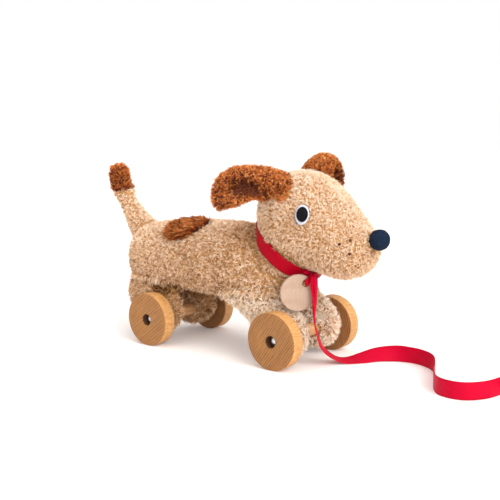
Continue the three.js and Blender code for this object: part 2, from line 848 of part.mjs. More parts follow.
// Tag: it faces outward, its hole near the knot
const tagFacing = THREE.MathUtils.degToRad(tagFacingDegrees);
const tagOut = new THREE.Vector3(Math.cos(tagFacing), -Math.sin(tagFacing), 0);
const tagAcross = new THREE.Vector3(Math.sin(tagFacing), Math.cos(tagFacing), 0);
const tagMiddle = new THREE.Vector3(frontAxleX + tagForward, tagSide, tagHeight);
const holeTurn = THREE.MathUtils.degToRad(tagHoleTurnDegrees);
const holeOut = tagDiameter / 2 - tagHoleInset;
const holeAcross = holeOut * Math.sin(holeTurn);
const holeUp = holeOut * Math.cos(holeTurn);

function tagGeometry() {
  const outline = new THREE.Shape();
  outline.absarc(0, 0, tagDiameter / 2 - tagEdgeChamfer, 0, 2 * Math.PI);
  const hole = new THREE.Path();
  hole.absarc(holeAcross, holeUp, tagHoleDiameter / 2 + tagEdgeChamfer, 0, 2 * Math.PI, true);
  outline.holes.push(hole);
  const geometry = new THREE.ExtrudeGeometry(outline, {
    depth: tagThickness - 2 * tagEdgeChamfer,
    bevelSize: tagEdgeChamfer,
    bevelThickness: tagEdgeChamfer,
    bevelSegments: 1,
    curveSegments: tagSegments,
  });
  return geometry.translate(0, 0, tagEdgeChamfer - tagThickness / 2);
}

const tagFrame = frameAt(tagMiddle, tagAcross, axisZ, tagOut);
add('name_tag', placed(tagGeometry(), tagFrame), finish('birch', 0.6));

// A ribbon's skin over middle points, width directions and half widths
function ribbonGeometry(places, widthways, halfWidths) {
  const half = ribbonThickness / 2;
  const rings = places.map((place, i) => {
    const before = places[Math.max(i - 1, 0)];
    const after = places[Math.min(i + 1, places.length - 1)];
    const along = after.clone().sub(before).normalize();
    const across = widthways[i].clone().addScaledVector(along, -along.dot(widthways[i])).normalize();
    const through = new THREE.Vector3().crossVectors(along, across);
    const corner = (w, t) => place.clone()
      .addScaledVector(across, w * halfWidths[i])
      .addScaledVector(through, t * half);
    return [corner(1, 1), corner(0, 1), corner(-1, 1), corner(-1, -1), corner(0, -1), corner(1, -1)];
  });
  return skin(rings, places[0], places[places.length - 1]);
}

// Tag loop: from the knot behind the tag, out through the hole and back over the tag's edge. Its
// points are up the line from hole to knot, and out from the tag's middle plane. In the hole it
// leaves the tag room to swing.
const holePlace = new THREE.Vector3(holeAcross, holeUp, 0).applyMatrix4(tagFrame);
const knotFromHole = knotPlace.clone().sub(holePlace);
const loopUp = knotFromHole.clone().addScaledVector(tagOut, -tagOut.dot(knotFromHole)).normalize();
const loopAcross = new THREE.Vector3().crossVectors(loopUp, tagOut);
const loopRoom = tagHoleDiameter / 2 - 2 * seatGap;
const loopSeat = Math.sqrt(loopRoom ** 2 - (loopWidth / 2) ** 2) - ribbonThickness / 2;
const loopTop = tagHoleInset + ribbonThickness + seatGap;
const loopPoints = [
  [loopTop - tagThickness, -loopDrop],
  [loopSeat, -tagThickness / 2 - ribbonThickness],
  [loopSeat, 0],
  [loopSeat, tagThickness / 2 + ribbonThickness / 2],
  [loopSeat + ribbonThickness, loopReach],
  [loopTop - seatGap, loopReach - ribbonThickness],
  [loopTop + seatGap, -ribbonThickness / 2],
  [loopTop, -loopReach],
];
const loopCurve = new THREE.CatmullRomCurve3(loopPoints.map(([up, out]) => holePlace.clone()
  .addScaledVector(loopUp, up)
  .addScaledVector(tagOut, out)));
const loopPlaces = loopCurve.getPoints(loopSteps);
const loopWidthways = loopPlaces.map(() => loopAcross);
const loop = ribbonGeometry(loopPlaces, loopWidthways, loopPlaces.map(() => loopWidth / 2));
const knotClear = new THREE.SphereGeometry(knotDiameter / 2 + seatGap, noseSegments, noseSegments);
const cutLoop = solidOf(loop).subtract(solidOf(knotClear).translate(knotPlace.toArray()));
add('tag_loop', cutLoop, finish('red', 0.45));

// Lead: its middle line, then the way its width points, then its width's share, gathered at the knot
const leadRoute = [
  [95.2, -14.2, 80.8, 0.46, 0.89, 0.0, 0.4],
  [97.6, -17.2, 79.6, 0.5, 0.86, 0.0, 0.47],
  [98.7, -18.7, 76.2, 0.55, 0.84, 0.0, 0.53],
  [98.9, -19.0, 71.6, 0.57, 0.82, 0.0, 0.52],
  [99.3, -19.0, 66.0, 0.54, 0.84, 0.0, 0.45],
  [99.6, -19.4, 59.0, 0.09, 1.0, 0.0, 0.48],
  [99.5, -19.8, 52.0, -0.31, 0.95, 0.0, 0.57],
  [99.5, -19.9, 44.8, -0.48, 0.87, 0.0, 0.7],
  [99.8, -19.2, 37.0, -0.54, 0.84, 0.0, 0.84],
  [100.3, -17.4, 29.5, -0.53, 0.85, 0.0, 0.95],
  [100.8, -14.6, 22.5, -0.52, 0.86, 0.0, 1.0],
  [101.5, -11.0, 16.4, -0.54, 0.84, 0.0, 1.0],
  [102.6, -6.0, 11.2, -0.57, 0.82, 0.02, 1.0],
  [104.2, 0.0, 6.6, -0.62, 0.78, 0.04, 1.0],
  [106.6, 5.0, 3.4, -0.66, 0.75, 0.07, 1.0],
  [110.4, 9.0, 1.9, -0.68, 0.72, 0.12, 1.0],
  [115.4, 13.6, 2.1, -0.7, 0.68, 0.2, 1.0],
  [122.0, 20.8, 3.6, -0.68, 0.58, 0.44, 1.0],
  [131.2, 31.2, 5.6, -0.5, 0.5, 0.71, 1.0],
  [144.4, 38.4, 6.9, -0.17, 0.3, 0.94, 1.0],
  [157.0, 40.2, 7.2, 0.0, 0.0, 1.0, 1.0],
  [169.2, 38.4, 7.2, 0.0, 0.0, 1.0, 1.0],
  [180.2, 33.0, 7.2, 0.0, 0.0, 1.0, 1.0],
  [189.6, 23.0, 7.2, 0.0, 0.0, 1.0, 1.0],
  [197.4, 9.2, 7.2, 0.0, 0.0, 1.0, 1.0],
  [203.6, -4.6, 7.2, 0.0, 0.0, 1.0, 1.0],
  [210.4, -16.8, 7.2, 0.0, 0.0, 1.0, 1.0],
  [219.6, -25.8, 7.2, 0.0, 0.0, 1.0, 1.0],
  [231.4, -28.8, 7.2, 0.0, 0.0, 1.0, 1.0],
  [243.2, -25.2, 7.2, 0.0, 0.0, 1.0, 1.0],
  [251.6, -15.2, 7.2, 0.0, 0.0, 1.0, 1.0],
  [256.0, -1.8, 7.2, 0.0, 0.0, 1.0, 1.0],
  [257.8, 12.4, 7.2, 0.0, 0.0, 1.0, 1.0],
  [258.0, 24.0, 7.2, 0.0, 0.0, 1.0, 1.0],
  [258.0, 31.0, 7.2, 0.0, 0.0, 1.0, 1.0],
];

const leadRows = sampleRows(leadRoute, leadSteps + 1);
const leadPlaces = leadRows.map(([x, y, z]) => new THREE.Vector3(x, y, z));
const lead = ribbonGeometry(
  leadPlaces,
  leadRows.map((row) => new THREE.Vector3(row[3], row[4], row[5])),
  leadRows.map((row) => (row[6] * ribbonWidth) / 2),
);
cordPieces.push(add('lead_ribbon', lead, finish('red', 0.45)));

// The rest of the lead stands on its edge in a round coil, and its end turns in to the end knot
const coilHeight = ribbonWidth / 2 + leadFloorGap;
const coilMiddle = new THREE.Vector3(coilEntryX + coilOuterRadius, coilEntryY, coilHeight);
const onCircle = (middle, radius, swept) => middle.clone()
  .add(new THREE.Vector3(-radius * Math.cos(swept), radius * Math.sin(swept), 0));
const coilPlaces = [];
const lastRoute = leadRoute[leadRoute.length - 1];
const coilStart = new THREE.Vector3(lastRoute[0], lastRoute[1] + seatGap, coilHeight);
coilPlaces.push(coilStart);
const coilEntry = new THREE.Vector3(coilEntryX, coilEntryY, coilHeight);
coilPlaces.push(coilStart.clone().add(coilEntry).divideScalar(2));
const coilSweep = 2 * Math.PI * coilTurns;
const coilSteps = Math.round(coilStepsPerTurn * coilTurns);
for (let step = 0; step <= coilSteps; step += 1) {
  const swept = (coilSweep * step) / coilSteps;
  coilPlaces.push(onCircle(coilMiddle, coilOuterRadius - (coilPitch * swept) / (2 * Math.PI), swept));
}
const innerRadius = coilOuterRadius - coilPitch * coilTurns;
const endMiddle = onCircle(coilMiddle, innerRadius - coilEndRadius, coilSweep);
const endSweep = THREE.MathUtils.degToRad(coilEndSweepDegrees);
const endSteps = Math.round((coilStepsPerTurn * endSweep) / (2 * Math.PI));
for (let step = 1; step <= endSteps; step += 1) {
  coilPlaces.push(onCircle(endMiddle, coilEndRadius, coilSweep + (endSweep * step) / endSteps));
}
const endTurn = coilSweep + endSweep;
const endHeading = new THREE.Vector3(Math.sin(endTurn), Math.cos(endTurn), 0);
const coilEnd = coilPlaces[coilPlaces.length - 1].clone().addScaledVector(endHeading, ribbonWidth / 2);
coilPlaces.push(coilEnd);
const coilWidthways = coilPlaces.map(() => axisZ);
const coil = ribbonGeometry(coilPlaces, coilWidthways, coilPlaces.map(() => ribbonWidth / 2));
cordPieces.push(add('lead_coil', coil, finish('red', 0.45)));

// The coil's least gap to itself, on points further apart along it than half a turn
const farSteps = coilStepsPerTurn / 2;
let leastGap = coilOuterRadius;
for (let i = 0; i < coilPlaces.length; i += 1) {
  for (let j = i + farSteps; j < coilPlaces.length; j += 1) {
    leastGap = Math.min(leastGap, coilPlaces[i].distanceTo(coilPlaces[j]) - ribbonThickness);
  }
}
console.log(`lead_coil: least gap to itself ${leastGap.toFixed(2)} mm`);
const measure = (places) => places.slice(1)
  .reduce((sum, place, i) => sum + place.distanceTo(places[i]), 0);
const leadLength = measure(leadPlaces) + measure(coilPlaces);
console.log(`lead: ${leadLength.toFixed(0)} mm`);

// End knot, cut to a face where the ribbon comes in
const endKnotPlace = coilEnd.clone().addScaledVector(endHeading, endKnotDiameter / 2);
endKnotPlace.z = endKnotDiameter / 2 + leadFloorGap;
const endBall = new THREE.SphereGeometry(endKnotDiameter / 2, noseSegments, noseSegments);
const endKnot = solidOf(endBall)
  .translate(endKnotPlace.toArray())
  .trimByPlane(endHeading.toArray(), endHeading.dot(coilEnd) + seatGap);
cordPieces.push(add('lead_end_knot', endKnot, finish('red', 0.45)));

// Set the toy on its box's bottom centre, measured without the lead
const box = new THREE.Box3();
toy.updateMatrixWorld(true);
for (const mesh of pieces) if (!cordPieces.includes(mesh)) box.expandByObject(mesh, true);
const middle = box.getCenter(new THREE.Vector3());
toy.position.set(-middle.x, -middle.y, -box.min.z);

export default toy;
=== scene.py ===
"""Looks of the pull-along plush dog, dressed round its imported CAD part.

Metres, +X the way the dog looks, +Y its left side, +Z up. Tables are in millimetres from the middle of
the wheelbase on the floor, as in the part's source, and toy() takes them to the part's frame.
"""
import math

import bmesh
import bpy
import numpy as np
from mathutils import Matrix, Vector
from mathutils.bvhtree import BVHTree


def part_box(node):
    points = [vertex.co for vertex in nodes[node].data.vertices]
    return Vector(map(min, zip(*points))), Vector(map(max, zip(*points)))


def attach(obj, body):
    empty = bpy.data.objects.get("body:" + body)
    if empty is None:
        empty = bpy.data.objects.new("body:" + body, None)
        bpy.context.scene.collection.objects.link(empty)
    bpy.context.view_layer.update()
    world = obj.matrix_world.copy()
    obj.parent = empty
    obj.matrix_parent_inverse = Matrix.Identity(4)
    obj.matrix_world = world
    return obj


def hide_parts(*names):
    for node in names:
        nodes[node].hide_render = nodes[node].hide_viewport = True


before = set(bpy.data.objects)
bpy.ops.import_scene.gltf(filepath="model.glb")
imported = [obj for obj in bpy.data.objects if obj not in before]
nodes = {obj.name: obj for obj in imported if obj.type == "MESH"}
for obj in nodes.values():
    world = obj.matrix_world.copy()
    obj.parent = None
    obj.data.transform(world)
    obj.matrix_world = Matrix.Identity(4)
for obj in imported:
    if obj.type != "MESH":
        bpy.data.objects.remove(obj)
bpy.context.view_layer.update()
scene = bpy.context.scene

MM = 0.001
ENDS = ("front", "rear")
SIDES = {"right": -1, "left": 1}
WHEELS = {(end, side): f"wheel_{end}_{side}" for end in ENDS for side in SIDES}


def middle(name):
    low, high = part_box(name)
    return (np.array(low) + np.array(high)) / 2


origin = np.mean([middle(name) for name in WHEELS.values()], 0)
axle_height = origin[2]
origin[2] = 0


def toy(points):
    """Millimetres from the middle of the wheelbase to metres in the part's frame."""
    return origin + np.asarray(points, float) * MM


def new_object(name, data):
    made = bpy.data.objects.new(name, data)
    scene.collection.objects.link(made)
    return made


# Camera

PHOTO_PIXELS = 500
FOCAL_PIXELS = 896.67
SENSOR_WIDTH = 36
CAMERA_AT = (531.7, -623.7, 213.1)
CAMERA_YAW, CAMERA_PITCH, CAMERA_ROLL = (math.radians(v) for v in (39.701, 8.47, -1.194))


def place_camera():
    back = Vector((math.sin(CAMERA_YAW) * math.cos(CAMERA_PITCH),
                   -math.cos(CAMERA_YAW) * math.cos(CAMERA_PITCH),
                   math.sin(CAMERA_PITCH)))
    level = Vector((math.cos(CAMERA_YAW), math.sin(CAMERA_YAW), 0))
    upright = back.cross(level)
    right = level * math.cos(CAMERA_ROLL) + upright * math.sin(CAMERA_ROLL)
    up = -level * math.sin(CAMERA_ROLL) + upright * math.cos(CAMERA_ROLL)
    data = bpy.data.cameras.new("camera")
    data.sensor_width = SENSOR_WIDTH
    data.lens = SENSOR_WIDTH * FOCAL_PIXELS / PHOTO_PIXELS
    data.clip_start = 0.01
    camera = new_object("camera", data)
    turn = Matrix((right, up, back)).transposed().to_4x4()
    camera.matrix_world = Matrix.Translation(Vector(toy(CAMERA_AT))) @ turn
    scene.camera = camera


place_camera()


# Meshes

def dressed(mesh, body, material, replaces=()):
    """A piece with the mesh's name that rides a body and takes a material slot."""
    piece = new_object(mesh.name, mesh)
    mesh.materials.clear()
    mesh.materials.append(material)
    mesh.polygons.foreach_set("use_smooth", [True] * len(mesh.polygons))
    mesh.update()
    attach(piece, body)
    if replaces:
        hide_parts(*replaces)
    return piece


def new_piece(name, points, faces, body, material, replaces=()):
    mesh = bpy.data.meshes.new(name)
    mesh.from_pydata([tuple(p) for p in points], [], [tuple(f) for f in faces])
    mesh.validate()
    return dressed(mesh, body, material, replaces)


def paint(name, material):
    """A piece that keeps its CAD shape, with its own material."""
    nodes[name].material_slots[0].material = material


def float_attribute(mesh, name, values):
    made = mesh.attributes.new(name, "FLOAT", "POINT")
    made.data.foreach_set("value", np.asarray(values, np.float32))


def ribbon_places(mesh, run, side):
    """How far along a ribbon and how far to its side each point is, for its ribs and edges."""
    float_attribute(mesh, "run", run)
    float_attribute(mesh, "side", side)


def fetched(items, field, width, kind=np.float32):
    """One field of all a mesh's items, with a row for each."""
    found = np.empty(len(items) * width, kind)
    items.foreach_get(field, found)
    return found.reshape(-1, width)


def points_of(mesh):
    return fetched(mesh.vertices, "co", 3).astype(float)


def normals_of(mesh):
    return fetched(mesh.vertex_normals, "vector", 3).astype(float)


def move_points(mesh, points):
    mesh.vertices.foreach_set("co", points.ravel().astype(np.float32))
    mesh.update()


def ball(name, subdivisions, radius=1):
    """A ball's mesh and its points, for a piece that is shaped from one."""
    shape = bmesh.new()
    bmesh.ops.create_icosphere(shape, subdivisions=subdivisions, radius=radius)
    mesh = bpy.data.meshes.new(name)
    shape.to_mesh(mesh)
    shape.free()
    return mesh, points_of(mesh)


def unit(v):
    return v / np.maximum(np.linalg.norm(v, axis=-1, keepdims=True), 1e-12)


def tree_of(names):
    """One search tree over several CAD nodes."""
    points, faces, start = [], [], 0
    for name in names:
        mesh = nodes[name].data
        points += [v.co for v in mesh.vertices]
        faces += [[start + i for i in p.vertices] for p in mesh.polygons]
        start += len(mesh.vertices)
    return BVHTree.FromPolygons(points, faces)


def ring_faces(rows, columns):
    """Quads between rings of points, ring by ring."""
    faces = []
    for r in range(rows - 1):
        for c in range(columns):
            d = (c + 1) % columns
            faces.append((r * columns + c, r * columns + d, (r + 1) * columns + d, (r + 1) * columns + c))
    return faces


def tube_faces(rows, columns):
    """The same, with a cap on either end."""
    last = (rows - 1) * columns
    return ring_faces(rows, columns) + [tuple(range(columns))[::-1], tuple(range(last, last + columns))]


def sample_rows(rows, count):
    """Rows of a table at evenly spaced places, each column on a Catmull-Rom spline."""
    rows = np.asarray(rows, float)
    along = np.linspace(0, len(rows) - 1, count)
    cell = np.minimum(along.astype(int), len(rows) - 2)
    t = (along - cell)[:, None]
    at = [rows[np.clip(cell + k, 0, len(rows) - 1)] for k in (-1, 0, 1, 2)]
    slope1, slope2 = (at[2] - at[0]) / 2, (at[3] - at[1]) / 2
    cubic = 2 * (at[1] - at[2]) + slope1 + slope2
    square = 3 * (at[2] - at[1]) - 2 * slope1 - slope2
    return ((cubic * t + square) * t + slope1) * t + at[1]


# Materials

def linear(levels):
    """A colour written as 0 to 255, as a shader takes it."""
    shares = [v / 255 for v in levels]
    return tuple(s / 12.92 if s <= 0.04045 else ((s + 0.055) / 1.055) ** 2.4 for s in shares) + (1,)


def shader_node(tree, kind, inputs=None, **settings):
    """A node with each input linked to a socket or set to a plain value."""
    made = tree.nodes.new("ShaderNode" + kind)
    for key, value in settings.items():
        setattr(made, key, value)
    for key, value in (inputs or {}).items():
        if isinstance(value, bpy.types.NodeSocket):
            tree.links.new(value, made.inputs[key])
        else:
            made.inputs[key].default_value = value
    return made


class Finish:
    """A material and short ways to add nodes to it."""

    def __init__(self, name, roughness, **sockets):
        self.material = bpy.data.materials.new(name)
        self.material.use_nodes = True
        self.tree = self.material.node_tree
        self.shader = self.tree.nodes["Principled BSDF"]
        self.shader.inputs["Roughness"].default_value = roughness
        for socket, value in sockets.items():
            self.shader.inputs[socket.replace("_", " ")].default_value = value

    def node(self, kind, inputs=None, **settings):
        return shader_node(self.tree, kind, inputs, **settings)

    def place(self, scale=(1, 1, 1), turn=(0, 0, 0), shift=(0, 0, 0)):
        """Where a point is on the object, stretched and turned."""
        where = self.node("TexCoord").outputs["Object"]
        turned = self.node("Mapping", {"Vector": where, "Rotation": turn, "Location": shift})
        return self.node("Mapping", {"Vector": turned.outputs[0], "Scale": scale}).outputs[0]

    def noise(self, where, scale, detail=3.0, roughness=0.55):
        return self.node("TexNoise", {"Vector": where, "Scale": scale, "Detail": detail,
                                      "Roughness": roughness}).outputs["Fac"]

    def ramp(self, factor, stops):
        made = self.node("ValToRGB", {"Fac": factor})
        elements = made.color_ramp.elements
        for i, (position, colour) in enumerate(stops):
            element = elements[i] if i < 2 else elements.new(position)
            element.position, element.color = position, colour
        return made.outputs["Color"]

    def between(self, factor, dark, light, high=0.7):
        """A colour between two that are written as 0 to 255."""
        return self.ramp(factor, [(0.3, linear(dark)), (high, linear(light))])

    def share(self, factor, low, high, first=0.0, last=1.0):
        """A share that goes from first to last while the factor goes from low to high."""
        return self.ramp(factor, [(low, (first, first, first, 1)), (high, (last, last, last, 1))])

    def maths(self, operation, a, b=0.0):
        return self.node("Math", {0: a, 1: b}, operation=operation).outputs[0]

    def mix(self, factor, a, b, blend="MIX"):
        return self.node("Mix", {0: factor, 6: a, 7: b}, data_type="RGBA", blend_type=blend).outputs[2]

    def attribute(self, name):
        return self.node("Attribute", attribute_name=name).outputs["Fac"]

    def colour(self, socket):
        self.tree.links.new(socket, self.shader.inputs["Base Color"])

    def rough(self, factor, low, high):
        spread = self.node("MapRange", {0: factor, 1: 0.0, 2: 1.0, 3: low, 4: high})
        self.tree.links.new(spread.outputs[0], self.shader.inputs["Roughness"])

    def bumped(self, height, distance, strength=1.0):
        """The finished material, with its fine relief."""
        made = self.node("Bump", {"Height": height, "Distance": distance, "Strength": strength})
        self.tree.links.new(made.outputs[0], self.shader.inputs["Normal"])
        return self.material


def plush_backing(name, dark, light):
    """Knitted ground under the pile, coloured deeper than the pile as painted shade between the tufts."""
    f = Finish(name, 0.95)
    where = f.place()
    f.colour(f.between(f.noise(where, 420, 4), dark, light, 0.75))
    f.rough(f.noise(where, 900), 0.85, 1.0)
    return f.bumped(f.noise(where, 700, 4), 0.0012)


def plush_pile(name, tones, tip):
    """Pile: each strand has its own tone, with painted shade deepening its foot and painted light paling its
    tip.
    """
    f = Finish(name, 0.85, Specular_IOR_Level=0.05)
    tone, along = f.attribute("tone"), f.attribute("along")
    # The ramp's first, deepest stop is mostly reached where painted shade takes the tone down.
    body = f.ramp(tone, [(at, linear(levels)) for at, levels in zip((0.02, 0.25, 0.55, 0.92), tones)])
    # Painted shade: the strand's foot is multiplied to a deeper colour, for the shade down among the strands.
    foot = f.mix(1.0, body, (0.74, 0.62, 0.48, 1), "MULTIPLY")
    body = f.mix(f.share(along, 0.05, 0.6), foot, body)
    # Painted light: towards its tip the strand turns to the pale tip colour.
    lit = f.mix(0.65, body, f.mix(tone, body, linear(tip)))
    f.colour(f.mix(f.share(along, 0.5, 1.0), body, lit))
    where = f.place()
    f.rough(f.noise(where, 1500), 0.75, 0.95)
    return f.bumped(f.noise(where, 4000), 0.0002, 0.4)


def velour(name, dark, light):
    f = Finish(name, 0.9, Specular_IOR_Level=0.15)
    where = f.place()
    f.colour(f.between(f.noise(where, 900, 5), dark, light, 0.75))
    f.rough(f.noise(where, 1200), 0.8, 1.0)
    return f.bumped(f.noise(where, 1600, 4), 0.0006)


def felt(name, dark, light):
    f = Finish(name, 0.95)
    fibres = f.noise(f.place((1, 0.25, 1), (0.4, 0.9, 0.2)), 3800, 5)
    f.colour(f.between(fibres, dark, light))
    f.rough(f.noise(f.place(), 2000), 0.85, 1.0)
    return f.bumped(fibres, 0.0002)


def stitched(name, dark, light, lines, turn=(0, 0, 0)):
    """Satin stitch: close parallel threads with a soft shine."""
    f = Finish(name, 0.5, Specular_IOR_Level=0.12)
    where = f.place(turn=turn)
    threads = f.node("TexWave", {"Vector": where, "Scale": lines, "Distortion": 1.2, "Detail": 2.0,
                                 "Detail Scale": 2.0}, bands_direction="X").outputs["Fac"]
    f.colour(f.between(f.noise(where, 1800), dark, light, 0.8))
    f.rough(threads, 0.62, 0.4)
    return f.bumped(threads, 0.0002)


RIB_GAP = 0.7 * MM


def ribbon(name, dark, light):
    """Satin ribbon: ribs across it, close by its woven edges, and soft streaks along it."""
    f = Finish(name, 0.5, Specular_IOR_Level=0.06)
    run, side = f.attribute("run"), f.attribute("side")
    ribs = f.maths("SINE", f.maths("MULTIPLY", run, math.tau / RIB_GAP))
    edge = f.maths("POWER", f.maths("ABSOLUTE", side), 14.0)
    streak = f.node("CombineXYZ", {"X": f.maths("MULTIPLY", run, 25.0), "Y": f.maths("MULTIPLY", side, 9.0)})
    streaks = f.noise(streak.outputs[0], 1.6, 4)
    f.colour(f.mix(f.maths("MULTIPLY", edge, 0.5), f.between(streaks, dark, light, 0.75), linear(dark)))
    f.rough(streaks, 0.34, 0.5)
    height = f.maths("ADD", f.maths("MULTIPLY", ribs, 0.5), f.maths("MULTIPLY", edge, 1.5))
    return f.bumped(height, 0.00006)


GRAIN_GAP = 2.1 * MM
RIM_TINTS = (178, 120, 62), (218, 166, 104)
# The hole's dark brown is scorch from drilling and painted shade inside the hole.
HOLE_SCORCH_AND_SHADE = (70, 38, 18)
HOLE_RADIUS = 5.3 * MM


def wood(name, dark, light, fleck, turn, shift, fine=1.0, contrast=0.4, wheel_middle=None):
    """Close straight grain with dashed lines; a wheel also has a paler rim and a drilled hole coloured dark
    brown, for scorch from the drill and painted shade inside it.
    """
    f = Finish(name, 0.6)

    def along_grain(stretch, scale, detail, roughness=0.55, size=1.0):
        return f.noise(f.place((size, size, stretch * size), turn, shift), scale, detail, roughness)

    grain = along_grain(0.07, 900, 5, 0.6, fine)
    bands = f.share(along_grain(0.05, 130, 2), 0.35, 0.75, 0.0, 0.25)
    pores = f.share(along_grain(0.12, 2600, 2, 0.4, fine), 0.62, 0.7, 0.0, 0.55)
    dashes = f.share(along_grain(0.1, 700, 3), 0.3, 0.6, 0.0, contrast)
    waver = f.maths("MULTIPLY", along_grain(0.1, 60, 2), 9.0)
    across = f.node("SeparateXYZ", {0: f.place((1, 1, 1), turn, shift)}).outputs["X"]
    across = f.maths("ADD", f.maths("MULTIPLY", across, math.tau / GRAIN_GAP * fine), waver)
    lines = f.mix(1.0, f.share(f.maths("SINE", across), 0.1, 0.95), dashes, "MULTIPLY")
    base = f.mix(bands, f.between(grain, dark, light), linear(dark))
    marked = f.mix(pores, f.mix(lines, base, linear(fleck)), linear(fleck))
    if wheel_middle:
        spot = f.node("TexCoord").outputs
        facing = f.node("SeparateXYZ", {0: spot["Normal"]}).outputs["Y"]
        turned = f.share(f.maths("ABSOLUTE", facing), 0.25, 0.75, 1.0, 0.0)
        fibres = f.noise(f.place((1, 0.12, 1)), 1500, 3)
        marked = f.mix(turned, marked, f.between(fibres, *RIM_TINTS))
        apart = f.node("VectorMath", {0: spot["Object"], 1: wheel_middle}, operation="SUBTRACT")
        flat = f.node("VectorMath", {0: apart.outputs[0], 1: (1, 0, 1)}, operation="MULTIPLY")
        radius = f.node("VectorMath", {0: flat.outputs[0]}, operation="LENGTH").outputs["Value"]
        # Scorch and painted shade: the hole's wall takes the dark brown.
        inside = f.share(f.maths("MULTIPLY", radius, 0.5 / HOLE_RADIUS), 0.49, 0.53, 1.0, 0.0)
        marked = f.mix(inside, marked, linear(HOLE_SCORCH_AND_SHADE))
    f.colour(marked)
    f.rough(grain, 0.5, 0.68)
    return f.bumped(grain, 0.0002, 0.5)


def metal(name, dark, light):
    f = Finish(name, 0.25, Metallic=1.0)
    where = f.place()
    f.colour(f.between(f.noise(where, 500, 3), dark, light))
    f.rough(f.noise(f.place((1, 6, 6)), 900, 4), 0.16, 0.36)
    return f.bumped(f.noise(where, 1500), 0.00004)


def moulded(name, dark, light):
    f = Finish(name, 0.5)
    where = f.place()
    f.colour(f.between(f.noise(where, 300), dark, light))
    f.rough(f.noise(where, 900), 0.42, 0.58)
    return f.bumped(f.noise(where, 2500), 0.00005)


# The backing colours are deeper than the pile's, as painted shade in the gaps between the tufts.
CREAM_BACKING = plush_backing("cream_backing", (168, 116, 62), (206, 158, 102))
CREAM_PILE = plush_pile(
    "cream_pile", [(104, 62, 26), (214, 162, 106), (251, 220, 182), (255, 238, 217)], (255, 247, 238))
BROWN_BACKING = plush_backing("brown_backing", (70, 26, 6), (112, 48, 14))
BROWN_PILE = plush_pile(
    "brown_pile", [(52, 16, 3), (126, 52, 14), (212, 112, 42), (246, 164, 92)], (255, 204, 140))
PLUSH = {"cream_plush": (CREAM_BACKING, CREAM_PILE), "brown_plush": (BROWN_BACKING, BROWN_PILE)}
NAVY = velour("navy_velour", (9, 20, 36), (27, 45, 68))
WHITE = felt("white_felt", (188, 192, 208), (216, 219, 232))
BLACK = stitched("black_thread", (3, 3, 5), (13, 14, 19), 420)
THREAD = stitched("brown_thread", (70, 22, 10), (122, 52, 26), 900, (0.3, 0.5, 0.2))
RED = ribbon("red_ribbon", (184, 2, 38), (204, 8, 52))
# The collar's ribbon is the lead's red in a deeper colour, as painted shade under the head; the bunch at the
# tag's hole takes it too.
SHADED_RED_RIBBON = ribbon("red_ribbon_in_shade", (152, 0, 22), (176, 2, 33))
RED_STRAND = stitched("red_strand", (140, 0, 22), (168, 2, 32), 700, (0.2, 0.3, 0.9))
STEEL = metal("steel", (192, 194, 198), (214, 216, 220))
NYLON = moulded("nylon", (214, 208, 196), (232, 228, 220))
BIRCH = wood("birch", (170, 142, 120), (184, 158, 138), (154, 122, 98), (0.2, 0.0, 0.6), (0.3, 0.1, 0.2), 1.3)
DOWEL = wood("beech_dowel", (192, 140, 88), (220, 174, 122), (154, 100, 58), (math.pi / 2, 0, 0), (0, 0, 0))


# Lead

RIBBON_WIDTH = 14
RIBBON_THICK = 0.5
# Middle line, the way its width points and its width's share, gathered at the knot
LEAD_ROUTE = [
    (95.2, -14.2, 80.8, 0.46, 0.89, 0, 0.4), (97.6, -17.2, 79.6, 0.5, 0.86, 0, 0.47),
    (98.7, -18.7, 76.2, 0.55, 0.84, 0, 0.53), (98.9, -19, 71.6, 0.57, 0.82, 0, 0.52),
    (99.3, -19, 66, 0.54, 0.84, 0, 0.45), (99.6, -19.4, 59, 0.09, 1, 0, 0.48),
    (99.5, -19.8, 52, -0.31, 0.95, 0, 0.57), (99.5, -19.9, 44.8, -0.48, 0.87, 0, 0.7),
    (99.8, -19.2, 37, -0.54, 0.84, 0, 0.84), (100.3, -17.4, 29.5, -0.53, 0.85, 0, 0.95),
    (100.8, -14.6, 22.5, -0.52, 0.86, 0, 1), (101.5, -11, 16.4, -0.54, 0.84, 0, 1),
    (102.6, -6, 11.2, -0.57, 0.82, 0.02, 1), (104.2, 0, 6.6, -0.62, 0.78, 0.04, 1),
    (106.6, 5, 3.4, -0.66, 0.75, 0.07, 1), (110.4, 9, 1.9, -0.68, 0.72, 0.12, 1),
    (115.4, 13.6, 2.1, -0.7, 0.68, 0.2, 1), (122, 20.8, 3.6, -0.68, 0.58, 0.44, 1),
    (131.2, 31.2, 5.6, -0.5, 0.5, 0.71, 1), (144.4, 38.4, 6.9, -0.17, 0.3, 0.94, 1),
    (157, 40.2, 7.2, 0, 0, 1, 1), (169.2, 38.4, 7.2, 0, 0, 1, 1),
    (180.2, 33, 7.2, 0, 0, 1, 1), (189.6, 23, 7.2, 0, 0, 1, 1),
    (197.4, 9.2, 7.2, 0, 0, 1, 1), (203.6, -4.6, 7.2, 0, 0, 1, 1),
    (210.4, -16.8, 7.2, 0, 0, 1, 1), (219.6, -25.8, 7.2, 0, 0, 1, 1),
    (231.4, -28.8, 7.2, 0, 0, 1, 1), (243.2, -25.2, 7.2, 0, 0, 1, 1),
    (251.6, -15.2, 7.2, 0, 0, 1, 1), (256, -1.8, 7.2, 0, 0, 1, 1),
    (257.8, 12.4, 7.2, 0, 0, 1, 1), (258, 24, 7.2, 0, 0, 1, 1),
    (258, 31, 7.2, 0, 0, 1, 1),
]
COIL_MIDDLE = (302.0, 45.0)
COIL_RADIUS, COIL_PITCH, COIL_TURNS = 44.0, 6.0, 1.75
COIL_END_RADIUS, COIL_END_SWEEP = 20.0, math.radians(110)
COIL_START = 31.3
COIL_LEVEL = 7.2


